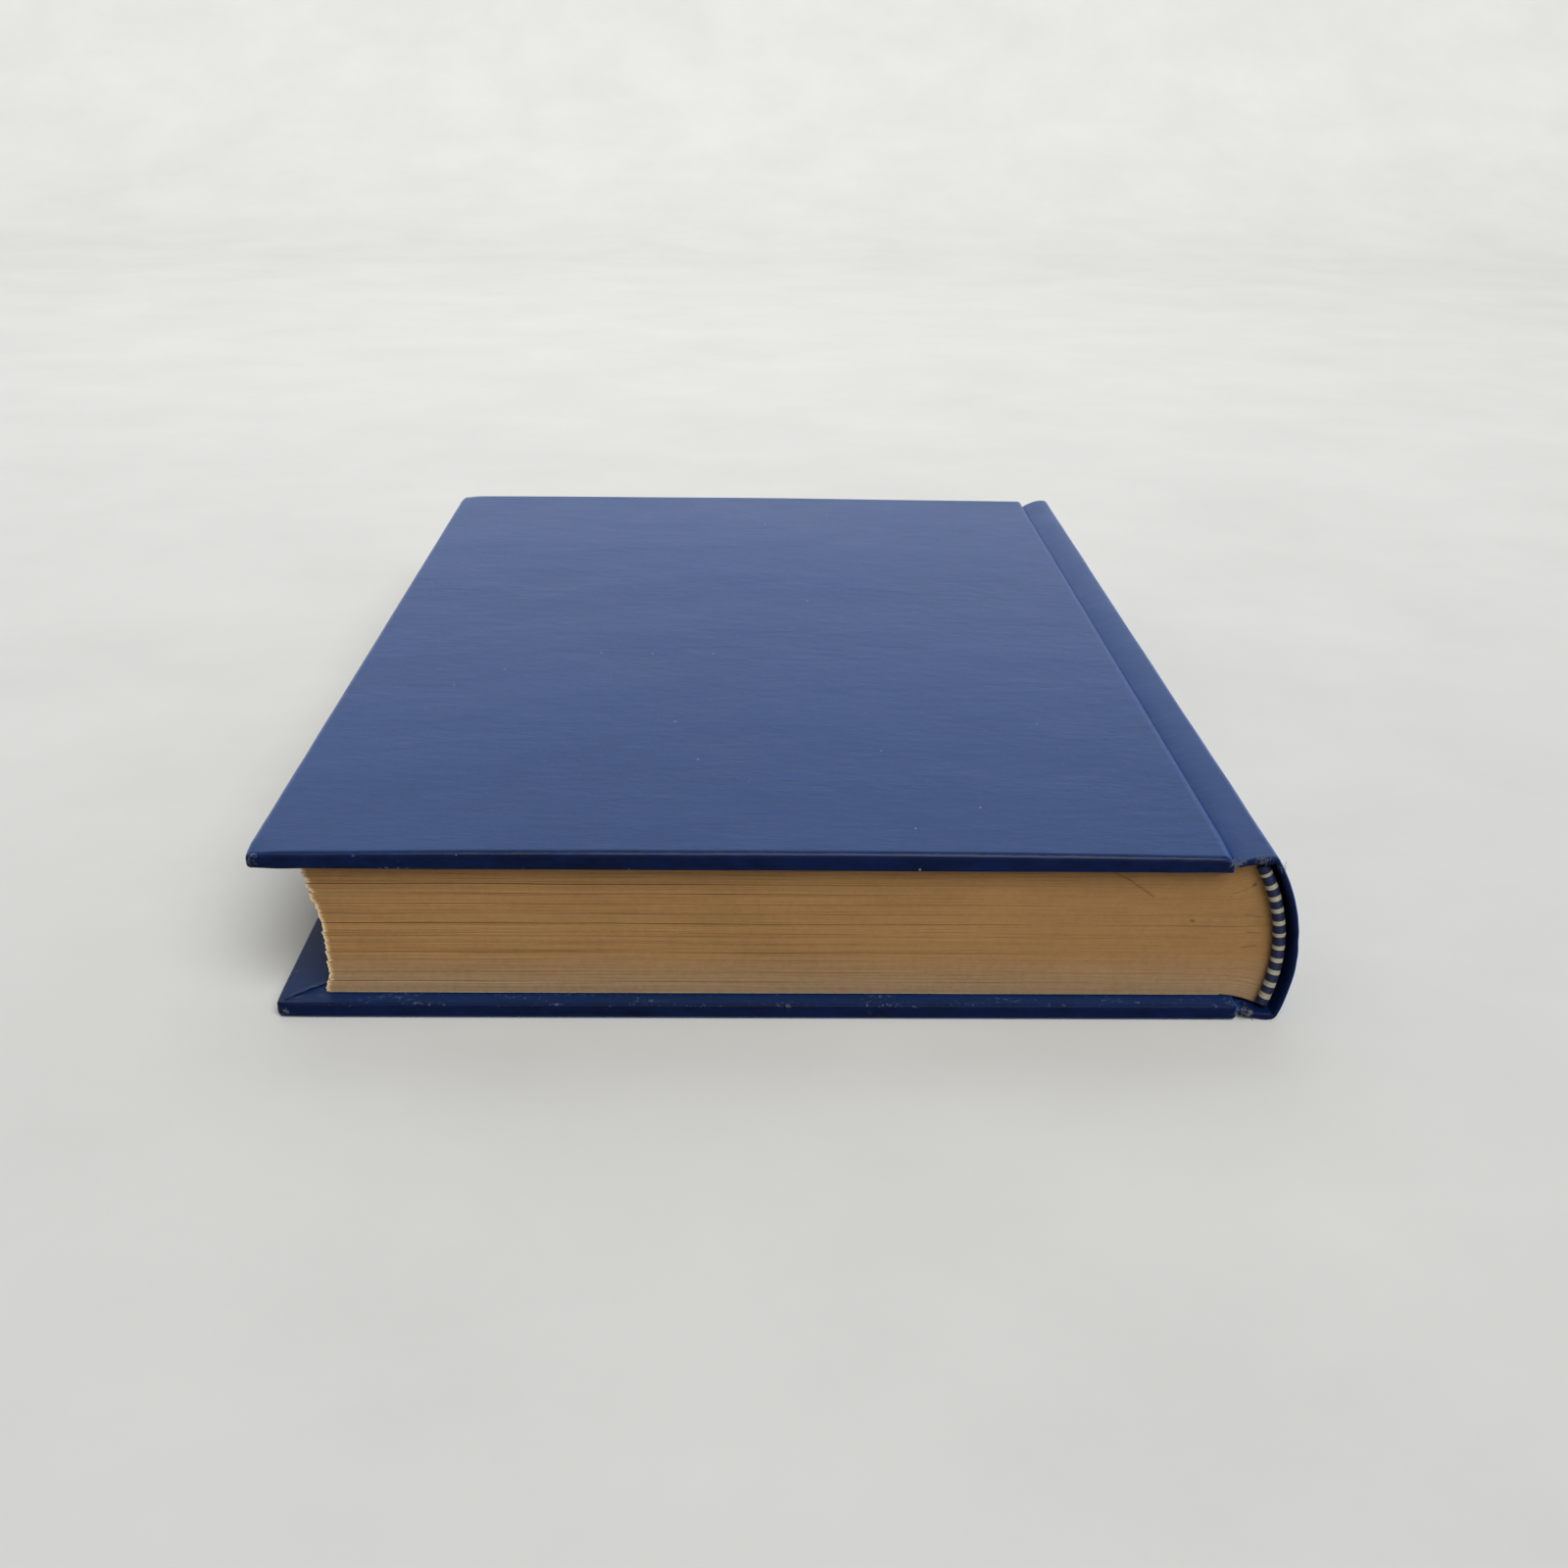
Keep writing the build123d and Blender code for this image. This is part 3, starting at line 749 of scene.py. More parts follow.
class BOOK_OT_cover_cloth(bpy.types.Operator):
    """Bookcloth round both boards, with a bowed front and rubbed corners"""

    bl_idname = "book.cover_cloth"
    bl_label = "Cover Cloth"

    # How far a blunted corner reaches, how far it is pushed in and how far down, in mm
    BLUNT_REACH = 4.5
    BLUNT_IN = 0.2
    BLUNT_DOWN = 0.35

    def execute(self, context):
        s = sizes()
        for body, low, high, outside in COVERS:
            piece = covered_board(f"{body}_cloth_wrap", low, high, outside)
            points = points_of(piece.data)
            x, y, z = points.T
            across = (x - low.x) / (high.x - low.x)
            along = (y - low.y) / (high.y - low.y)
            from_inside = (z - low.z) / (high.z - low.z)
            if outside < 0:
                from_inside = 1 - from_inside
            fore_run, end_run = (x - low.x) / MM, (HALF_COVER - np.abs(y)) / MM
            edge_run = np.minimum(fore_run, end_run)
            blunt = np.clip(1 - np.hypot(fore_run, end_run) / self.BLUNT_REACH, 0, 1) ** 1.5
            grit = ripples(x / MM + z / MM * 3, y / MM, 3.0, 71)
            if outside > 0:
                swell = ripples(x / MM, y / MM, 90, 61) * 0.06
                bow = s.bow / MM * (4 * across * (1 - across)) * (1 - 0.4 * along)
                z += (bow + swell + 0.02 - self.BLUNT_DOWN * blunt) * from_inside * MM
                into_joint = smooth_step(high.x - 0.6 * MM, high.x + s.joint_reach, x)
                at_head = np.exp(-(y - low.y) / (3.5 * MM))
                z -= 0.8 * into_joint * at_head * from_inside * MM
            pushed = (self.BLUNT_IN + 0.08 * grit) * blunt * MM
            x += pushed
            y -= np.sign(y) * pushed
            x -= s.skew * (1 - across) * (1 - along)
            nick = 0.04 * ripples(x / MM, y / MM + z / MM, 4.5, 83)
            z += nick * (edge_run < 0.5) * MM * (1 if outside > 0 else 0.3)
            piece.data.vertices.foreach_set("co", points.astype(np.float32).ravel())
            piece.data.update()
            spots = []
            middle = (low.z + high.z) / 2 / MM
            for end in (-HALF_COVER / MM, HALF_COVER / MM):
                spots.append((low.x / MM + 0.6, end - math.copysign(0.6, end), middle, 1.8, 0.5))
                spots.append(((high.x + s.joint_reach) / MM, end, middle, 1.4, 0.2))
            edge_rub = 0.2 * (1 - smooth_step(0.1, 0.9, edge_run)) * (0.6 + 0.6 * grit)
            dusty = 0.3 * (from_inside < 0.15) * (0.8 + 0.5 * grit)
            store(piece, "rub", np.maximum.reduce([spot_rub(points, spots), edge_rub, dusty]))
            # The sides take the dullest copy, a painted shade that darkens them as well as wear; faces into
            # the joint keep the polished one
            for face in piece.data.polygons:
                facing = face.normal.z * outside
                in_joint = face.normal.x > 0.5
                face.material_index = 0 if facing > 0.5 or in_joint else 2 if facing < -0.8 else 1
            keep_flats_flat(piece)
            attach(piece, body)
            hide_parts(f"{body}_cloth")
        return {"FINISHED"}


def crest_side(layout, top):
    """Round over one shoulder: its centre, its angle where the back begins, the groove's start."""
    s = sizes()
    z = BOOK_THICKNESS - s.crest if top else s.crest
    reach = layout.case - s.crest
    x = layout.centre.x + math.sqrt(reach**2 - (z - layout.centre.y) ** 2)
    back = math.atan2(z - layout.centre.y, x - layout.centre.x)
    start = Vector((
        FRONT_HIGH.x + s.joint_reach + s.groove_gap + (0 if top else LEAN),
        BOOK_THICKNESS - s.groove if top else s.groove,
    ))
    return Vector((x, z)), back, start


def case_section():
    """Outside of the spine cloth from groove to groove: points, normals, and a number that rises
    from 0 on the flanks over the crests to 2 on the back."""
    s, layout = sizes(), back_layout()
    points, normals, zone = [], [], []

    def flank(centre, start, top):
        """Swell of cloth from the groove to the top of the round over the shoulder."""
        first = np.array(start)
        last = np.array((centre.x, BOOK_THICKNESS if top else 0.0))
        pull = np.array((first[0] + 0.3 * (last[0] - first[0]), last[1]))
        shares = np.linspace(0, 1, 11)[:-1]
        for t in shares if top else shares[::-1]:
            slope = (pull - first) * (1 - t) + (last - pull) * t
            normal = np.array((-slope[1], slope[0]) if top else (slope[1], -slope[0]))
            points.append(first * (1 - t) ** 2 + 2 * pull * t * (1 - t) + last * t**2)
            normals.append(normal / np.linalg.norm(normal))
            zone.append(t * 0.6)

    def arc(centre, radius, first, last, steps, value, ends):
        for t in np.linspace(0, 1, steps)[slice(None) if ends else slice(1, -1)]:
            angle = first + (last - first) * t
            normal = np.array((math.cos(angle), math.sin(angle)))
            points.append(np.array(centre) + radius * normal)
            normals.append(normal)
            zone.append(value(t))

    centre, back, start = crest_side(layout, True)
    low_centre, low_back, low_start = crest_side(layout, False)
    flank(centre, start, True)
    arc(centre, s.crest, math.pi / 2, back, 13, lambda t: 0.6 + 1.4 * t, True)
    arc(layout.centre, layout.case, back, low_back, 46, lambda t: 2.0, False)
    arc(low_centre, s.crest, low_back, -math.pi / 2, 13, lambda t: 2.0 - 1.4 * t, True)
    flank(low_centre, low_start, False)
    keep = [0]
    for i in range(1, len(points)):
        if np.linalg.norm(points[i] - points[keep[-1]]) > 1e-6:
            keep.append(i)
    return np.array(points)[keep], np.array(normals)[keep], np.array(zone)[keep]


class BOOK_OT_spine_cloth(bpy.types.Operator):
    """Bookcloth over the back and both shoulders, turned in over the card at head and tail"""

    bl_idname = "book.spine_cloth"
    bl_label = "Spine Cloth"

    ROUND_END = 0.6 * MM

    def execute(self, context):
        s = sizes()
        section, normal, zone = case_section()
        rim = np.interp(zone, [0, 0.25, 0.6, 1, 2], [0.6 * MM, 1.1 * MM, 1.25 * MM, MM, s.head_rim])
        near = np.array([0.0, 0.3, 0.6, 1.0, 1.5, 2.2, 3.0, 4.0, 5.5, 8.0, 12.0]) * MM
        reach, inner = HALF_COVER - self.ROUND_END, HALF_COVER - s.turn_in
        between = np.linspace(-reach + 0.018, reach - 0.018, 34)
        turn = np.linspace(0, math.pi, 9)[1:-1]
        # Once round the cloth along the spine: Y, and the depth under the outside
        tail = [(reach + self.ROUND_END * math.sin(a), rim * (1 - math.cos(a)) / 2) for a in turn]
        loop = [(y, 0.0) for y in (*(-reach + near), *between, *(reach - near)[::-1])]
        loop += tail + [(reach, rim), (inner, rim), (inner - 0.2 * MM, s.cloth)]
        loop += [(0.2 * MM - inner, s.cloth), (-inner, rim), (-reach, rim)]
        loop += [(-y, depth) for y, depth in tail[::-1]]
        every = np.ones(len(section))
        y = np.array([place * every for place, _ in loop])
        depth = np.array([under * every for _, under in loop])

        arc = np.concatenate([[0], np.cumsum(np.linalg.norm(np.diff(section, axis=0), axis=1))])
        run = arc[None, :] / MM
        outer = 1 - smooth_step(0.0, 1.0, depth / (0.5 * MM))
        dents = 0.035 * ripples(run, y / MM, 14, 91) + 0.05 * ripples(run, y / MM, 60, 92)
        front_crest = np.exp(-(((run - 4.5) / 2.2) ** 2))
        lift = 0.3 * front_crest * smooth_step(-0.02, HALF_COVER, y)
        push = (dents * (zone > 0.3) + lift) * outer * MM
        push = np.where(section[:, 1] < 2.5 * MM, np.minimum(push, 0), push)
        x, z = (section[:, k] + normal[:, k] * (push - depth) for k in (0, 1))
        wavy = 0.14 * ripples(run, y * 0, 6.0, 95) + 0.10 * ripples(run, y * 0, 2.2, 96)
        at_end = smooth_step(reach - 1.5 * MM, reach, np.abs(y))
        y = y - np.sign(y) * np.clip(0.12 + wavy, 0, None) * at_end * MM

        rows, columns = y.shape
        points = np.stack([x, y, z], -1).reshape(-1, 3)
        faces = grid_quads(rows, columns, wrap_rows=True)
        faces.append(tuple(r * columns for r in range(rows)))
        faces.append(tuple(r * columns + columns - 1 for r in range(rows)))
        piece = make_piece("spine_cloth_wrap", points, faces, [cloth_material(), cloth_material("edge")])
        # The turned-in rim takes the dull edge copy, a painted shade that darkens it as well as wear
        is_edge = outer.ravel() < 0.5
        for face in piece.data.polygons:
            face.material_index = int(is_edge[face.vertices[0]] or is_edge[face.vertices[2]])
        face_outwards(piece)
        piece.data.set_sharp_from_angle(angle=math.radians(50))
        start, end, top = section[0, 0] / MM, HALF_COVER / MM, BOOK_THICKNESS / MM
        rub = spot_rub(points, [
            (start, -end, top - 1.2, 1.7, 0.5),
            (start + 3.0, -end, top - 0.4, 1.8, 0.42),
            (start + 5.5, -end, top - 1.8, 1.4, 0.42),
            (start + LEAN / MM + 0.9, -end, 1.2, 2.2, 0.48),
            (start, end, top - 1.2, 1.6, 0.6),
            (start + 3.0, end, top - 0.4, 1.6, 0.6),
        ])
        grit = ripples(points[:, 0] / MM * 2, points[:, 2] / MM * 2, 4.0, 97)
        rim_rub = 0.22 * smooth_step(reach - 0.2 * MM, HALF_COVER - 0.1 * MM, np.abs(points[:, 1]))
        store(piece, "rub", np.maximum(rub, rim_rub * (0.6 + 0.6 * grit)))
        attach(piece, "book_block")
        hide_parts("spine_cloth")
        return {"FINISHED"}


class BOOK_OT_spine_card(bpy.types.Operator):
    """Card strip between the spine cloth and its turn-ins"""

    bl_idname = "book.spine_card"
    bl_label = "Spine Card"

    END_GAP = 1.5 * MM

    def execute(self, context):
        s, layout = sizes(), back_layout()
        top, bottom = (crest_side(layout, side)[1] for side in (True, False))
        angles = np.linspace(top, bottom, 40)
        reach = HALF_COVER - self.END_GAP
        outer = layout.case - s.cloth * 0.9
        inner = outer - s.card
        corners = ((outer, -reach), (outer, reach), (inner, reach), (inner, -reach))
        piece = back_strip("spine_card", layout, angles, corners, board_material())
        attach(piece, "book_block")
        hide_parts("spine_inlay")
        return {"FINISHED"}


def strip_along_spine(name, path, half_height, stations, material, thickness):
    """Thin sheet that follows a path of X-Z points, drawn out along the spine."""
    ys = np.linspace(-half_height, half_height, stations)
    points = [(x, y, z) for y in ys for x, z in path]
    piece = make_piece(name, points, grid_quads(stations, len(path)), [material])
    store(piece, "rub", np.zeros(len(points)))
    sheet = piece.modifiers.new("thickness", "SOLIDIFY")
    sheet.thickness = thickness
    sheet.offset = 0.0
    return piece


class BOOK_OT_joints(bpy.types.Operator):
    """Cloth and endpaper in each joint"""

    bl_idname = "book.joints"
    bl_label = "Joints"

    # Path of the joint cloth from the board to the shoulder: past the board and above it, in mm
    CLOTH_KNOTS = ((0.3, 1.5), (0.55, 1.2), (0.9, 1.02), (1.25, 0.98), (1.7, 1.1), (2.5, 1.5))
    FOLD_RADIUS = 0.024 * MM
    PAPER = 0.04 * MM
    CLOTH_END_GAP = 0.7 * MM
    PAPER_END_GAP = 0.4 * MM

    def execute(self, context):
        s = sizes()
        edge, inside, radius = FRONT_HIGH.x, FRONT_LOW.z, self.FOLD_RADIUS
        way, fine = np.linspace(0, 1, len(self.CLOTH_KNOTS)), np.linspace(0, 1, 30)
        past, above = (np.interp(fine, way, column) * MM for column in zip(*self.CLOTH_KNOTS))
        cloth_path = list(zip(edge + past, inside + above))
        middle = (FLYLEAF_TOP + PASTEDOWN_BOTTOM) / 2
        fold = np.linspace(-math.pi / 2, math.pi / 2, 29)
        legs = np.array([-3.2, -1.6, -0.4]) * MM
        paper_path = [(edge + x, middle - radius) for x in legs]
        paper_path += [(edge + radius * math.cos(a), middle + radius * math.sin(a)) for a in fold]
        paper_path += [(edge + x, middle + radius) for x in legs[::-1]]
        for body, _, _, outside in COVERS:
            shift = 0 if outside > 0 else LEAN

            def placed(path):
                return [(x + shift, z if outside > 0 else BOOK_THICKNESS - z) for x, z in path]

            cloth = strip_along_spine(
                f"{body}_joint_cloth", placed(cloth_path), HALF_COVER - self.CLOTH_END_GAP, 24,
                cloth_material(), s.cloth * 0.8,
            )
            at_block, at_cover = ((edge + shift + x * MM, 0, 0) for x in (2.2, 0.45))
            self.bend(cloth, body, at_block, at_cover)
            paper = strip_along_spine(
                f"{body}_joint_paper", placed(paper_path), HALF_PAGES - self.PAPER_END_GAP, 12,
                endpaper_material(), self.PAPER,
            )
            low, high = placed([(0, middle - 0.9 * radius), (0, middle + 0.9 * radius)])
            self.bend(paper, body, (edge, 0, low[1]), (edge, 0, high[1]))
        return {"FINISHED"}

    def bend(self, piece, body, at_block, at_cover):
        """Bakes a piece's placement into its mesh; the piece is not bent between the block and a cover."""
        if body == "front_cover":
            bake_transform(piece)
        else:
            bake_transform(piece)


class BOOK_OT_pastedowns(bpy.types.Operator):
    """Pasted endpaper leaves, sunk a little inside the edge of the turn-ins, and mitred turn-ins"""

    bl_idname = "book.pastedowns"
    bl_label = "Pastedowns"

    MULL_FLAP = 25 * MM
    SINK = 0.09 * MM
    TURN_IN_CLOTH = 0.11 * MM
    MITRE_GAP = 0.6 * MM
    LOOSE_LIFT = 0.22 * MM

    def execute(self, context):
        s = sizes()
        leaf = FRONT_LOW.z - PASTEDOWN_BOTTOM
        step = np.array([0.0, 0.5, 1.0]) * MM
        for body, low, high, outside in COVERS:
            left, right = low.x + s.pastedown_fore, high.x - s.cloth
            reach = HALF_COVER - s.pastedown_margin
            inside = low.z if outside > 0 else high.z
            # Where the leaf steps down from the turn-ins and up again over the mull's flap
            fore, flap, end = low.x + s.turn_in, right - self.MULL_FLAP, HALF_COVER - s.turn_in
            xs = np.unique(np.concatenate([np.linspace(left, right, 30), fore + step, flap + step]))
            ys = np.unique(np.concatenate([np.linspace(-reach, reach, 46), end - step, step - end]))
            gx, gy = np.meshgrid(xs, ys)
            sunk = smooth_step(fore, fore + MM, gx) * (1 - smooth_step(flap, flap + MM, gx))
            sunk = sunk * (1 - smooth_step(end - MM, end, np.abs(gy)))
            uneven = 0.015 * ripples(gx / MM, gy / MM, 25, 33) * MM
            shown = inside - outside * (leaf - self.SINK * sunk) + uneven
            under = np.full_like(gx, inside)
            piece = make_sheet(f"{body}_pasted_leaf", gx, gy, shown, under, endpaper_material())
            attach(piece, body)
            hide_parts(f"{body.replace('_cover', '')}_pastedown")
            self.turn_in(body, low, inside, outside)
        return {"FINISHED"}

    def turn_in(self, body, low, inside, outside):
        """Fore-edge turn-in laid over the other two, its ends cut at 45 degrees and a little loose."""
        s = sizes()
        first = low.x + s.inner_edge
        run = np.concatenate([np.linspace(0, 6, 25), np.linspace(7, 14, 8)]) / 14 * (s.turn_in - s.inner_edge)
        mitre = run + 0.06 * MM * ripples(run / MM, 0.0, 2.5, 12) * (run > MM)
        lift = smooth_step(0.3 * MM, 1.5 * MM, run) * (1 - smooth_step(4.2 * MM, 5.2 * MM, run))
        lift = self.LOOSE_LIFT * lift * (0.7 + 0.4 * ripples(run / MM, 5.0, 2.0, 13))
        inset = np.array([0.0, 0.25, 1.2, 2.0])[:, None] * MM
        raised = np.array([1.0, 0.8, 0.0, 0.0])[:, None]
        y = s.inner_edge - HALF_COVER + self.MITRE_GAP + mitre + inset
        shown = self.TURN_IN_CLOTH + np.clip(lift, 0, None) * raised
        y, shown = np.concatenate([y, -y[::-1]]), np.concatenate([shown, shown[::-1]])
        x = np.broadcast_to(first + run, y.shape)
        under = np.full_like(shown, inside + outside * 0.02 * MM)
        name = f"{body}_turn_in"
        piece = make_sheet(name, x, y, inside - outside * shown, under, cloth_material("turn_in"))
        store(piece, "rub", np.full(len(piece.data.vertices), 0.12))
        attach(piece, body)


class BOOK_OT_flyleaves(bpy.types.Operator):
    """Free endpaper leaves on the top and bottom of the block, with uneven fore edges"""

    bl_idname = "book.flyleaves"
    bl_label = "Flyleaves"

    def execute(self, context):
        s = sizes()
        for node, back_in in (("front_flyleaf", 0.0), ("back_flyleaf", 0.75 * MM)):
            low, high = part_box(node)
            y = np.linspace(-HALF_PAGES + 0.1 * MM, HALF_PAGES - 0.1 * MM, 60)[:, None]
            left = FRONT_LOW.x + s.fore_square + lean_at(low.z) + back_in
            left = left + 0.2 * ripples(y / MM, 0.0, 30, 15) * MM
            x = left + (high.x - left) * np.linspace(0, 1, 24)[None, :]
            y = np.broadcast_to(y, x.shape)
            upper, lower = np.full_like(x, high.z), np.full_like(x, low.z)
            piece = make_sheet(f"{node}_sheet", x, y, upper, lower, endpaper_material())
            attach(piece, "book_block")
            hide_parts(node)
        return {"FINISHED"}


class BOOK_OT_headbands(bpy.types.Operator):
    """Headbands: cream and navy thread wrapped round a cord, on a tape glued over the back"""

    bl_idname = "book.headbands"
    bl_label = "Headbands"

    THREADS = 4
    PER_THREAD = 5
    AROUND = 18
    BAND_END = math.radians(1.5)
    TAPE_END = math.radians(2)
    TAPE_RISE = 0.4 * MM
    TAPE_DEPTH = 12 * MM

    def execute(self, context):
        s, layout, c = sizes(), back_layout(), colours()
        cream = material_for(band_thread, "cream_band_thread", c.band_cream)
        navy = material_for(band_thread, "navy_band_thread", c.band_navy)
        stripes = 2 * s.band_stripes + 1
        wraps = stripes * self.THREADS
        steps = wraps * self.PER_THREAD
        reach = layout.half_angle - self.BAND_END
        angles = np.linspace(layout.tilt - reach, layout.tilt + reach, steps + 1)
        thread = np.arange(steps + 1) / self.PER_THREAD
        hump = np.abs(np.sin(math.pi * thread)) ** 0.6
        rng = np.random.default_rng(3)
        uneven = np.interp(thread, np.arange(wraps + 1), rng.normal(0, 0.02, wraps + 1))
        swell = (s.band_radius * (0.82 + 0.2 * hump + uneven))[:, None]
        around = np.linspace(0, 2 * math.pi, self.AROUND, endpoint=False)
        bead_radius = layout.radius + s.mull + s.band_shift - s.band_radius
        for name, side in (("head_band", -1), ("tail_band", 1)):
            x, z = on_back(layout, bead_radius + swell * np.cos(around), angles[:, None])
            y = side * (HALF_PAGES + s.band_radius + 0.05 * MM) + swell * np.sin(around)
            points = np.stack([x, y, z], -1).reshape(-1, 3)
            faces = grid_quads(steps + 1, self.AROUND, wrap_columns=True)
            faces.append(tuple(range(self.AROUND)))
            faces.append(tuple(steps * self.AROUND + i for i in range(self.AROUND)))
            piece = make_piece(f"{name}_threads", points, faces, [cream, navy])
            face_outwards(piece)
            stripe, phase = np.divmod((np.arange(steps) + 0.5) / (steps / stripes), 1)
            first = 0.14 + rng.uniform(-0.08, 0.1, stripes)[stripe.astype(int)]
            last = 0.86 + rng.uniform(-0.1, 0.08, stripes)[stripe.astype(int)]
            is_cream = (stripe % 2 == 1) & (phase > first) & (phase < last)
            slots = np.repeat(np.where(is_cream, 0, 1), self.AROUND).tolist() + [1, 1]
            piece.data.polygons.foreach_set("material_index", slots)
            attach(piece, "book_block")
            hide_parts(name)
            self.tape(name, side, layout, cream)
        return {"FINISHED"}

    def tape(self, name, side, layout, material):
        """Tape that holds a band, under the lining."""
        reach = layout.half_angle - self.TAPE_END
        angles = np.linspace(layout.tilt - reach, layout.tilt + reach, 30)
        under, over = layout.radius + 0.03 * MM, layout.radius + sizes().mull
        first, last = side * (HALF_PAGES + self.TAPE_RISE), side * (HALF_PAGES - self.TAPE_DEPTH)
        corners = ((under, first), (under, last), (over, last), (over, first))
        piece = back_strip(f"{name}_tape", layout, angles, corners, material)
        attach(piece, "book_block")


class BOOK_OT_frays(bpy.types.Operator):
    """Loose fibres where the cloth has worn through at the joints and the head cap"""

    bl_idname = "book.frays"
    bl_label = "Frays"

    STEPS = 5

    def execute(self, context):
        material = material_for(band_thread, "frayed_cotton", colours().fray)
        top, edge, head, lean = (v / MM for v in (BOOK_THICKNESS, FRONT_HIGH.x, -HALF_COVER, LEAN))
        # Middle and spread of each tuft in mm, and how many fibres it has
        tufts = {
            "front_cover": [((edge + 0.6, head, top - 1.0), (0.4, 0.5, 0.5), 16)],
            "back_cover": [((edge + lean + 0.6, head, 1.3), (0.3, 0.5, 0.5), 14)],
            "book_block": [
                ((edge + 1.9, head + 0.3, top - 0.7), (0.6, 0.4, 0.3), 16),
                ((edge + 4.4, head + 0.2, top - 0.2), (0.8, 0.4, 0.2), 24),
                ((edge + 7.6, head + 0.2, top - 1.4), (0.5, 0.3, 0.5), 12),
                ((edge + lean + 2.3, head + 0.3, 1.1), (0.7, 0.4, 0.4), 22),
            ],
        }
        rng = np.random.default_rng(77)
        for body, groups in tufts.items():
            points, faces = [], []
            for centre, spread, fibres in groups:
                for _ in range(fibres):
                    self.fibre(rng, np.array(centre) + rng.normal(0, 0.6, 3) * spread, points, faces)
            piece = make_piece(f"{body}_frays", np.array(points) * MM, faces, [material])
            face_outwards(piece)
            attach(piece, body)
        return {"FINISHED"}

    def fibre(self, rng, root, points, faces):
        """Bent fibre of three sides that tapers to a point, in millimetres."""
        heading = rng.normal(0, 1, 3) + np.array((0.0, -0.6, 0.0))
        heading /= np.linalg.norm(heading)
        bend = rng.normal(0, 0.5, 3)
        length_mm = rng.uniform(0.3, 0.95)
        thickness = rng.uniform(0.03, 0.055)
        across = np.cross(heading, (0.3, 0.2, 0.9))
        across /= np.linalg.norm(across)
        up = np.cross(heading, across)
        first, end = len(points), len(points) + 3 * self.STEPS
        for t in np.linspace(0, 1, self.STEPS):
            middle = root + length_mm * (heading * t + bend * t * t)
            middle[2] = np.clip(middle[2], 0.05, BOOK_THICKNESS / MM + 0.25)
            for angle in (0, 2 * math.pi / 3, 4 * math.pi / 3):
                spoke = across * math.cos(angle) + up * math.sin(angle)
                points.append(middle + spoke * thickness * (1 - 0.7 * t))
        quads = grid_quads(self.STEPS, 3, wrap_columns=True)
        faces += [tuple(first + i for i in quad) for quad in quads]
        faces += [(first, first + 1, first + 2), (end - 1, end - 2, end - 3)]


class BOOK_OT_inner_layers(bpy.types.Operator):
    """Finishes for the boards, the lining and the mull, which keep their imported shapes"""

    bl_idname = "book.inner_layers"
    bl_label = "Inner Layers"

    def execute(self, context):
        c = colours()
        kraft = (rgba(c.lining), rgba(c.lining, 0.7), 0.8, 0.05, 0.75)
        lining = material_for(plain_paper, "kraft_lining", *kraft)
        gauze = material_for(woven, "starched_mull", c.gauze, 0.9, 0.8)
        board = board_material()
        finishes = {
            "front_board": board, "back_board": board, "spine_lining": lining,
            "mull": gauze, "front_mull_flap": gauze, "back_mull_flap": gauze,
        }
        for node, finish in finishes.items():
            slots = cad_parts[node].data.materials
            slots.clear()
            slots.append(finish)
        return {"FINISHED"}


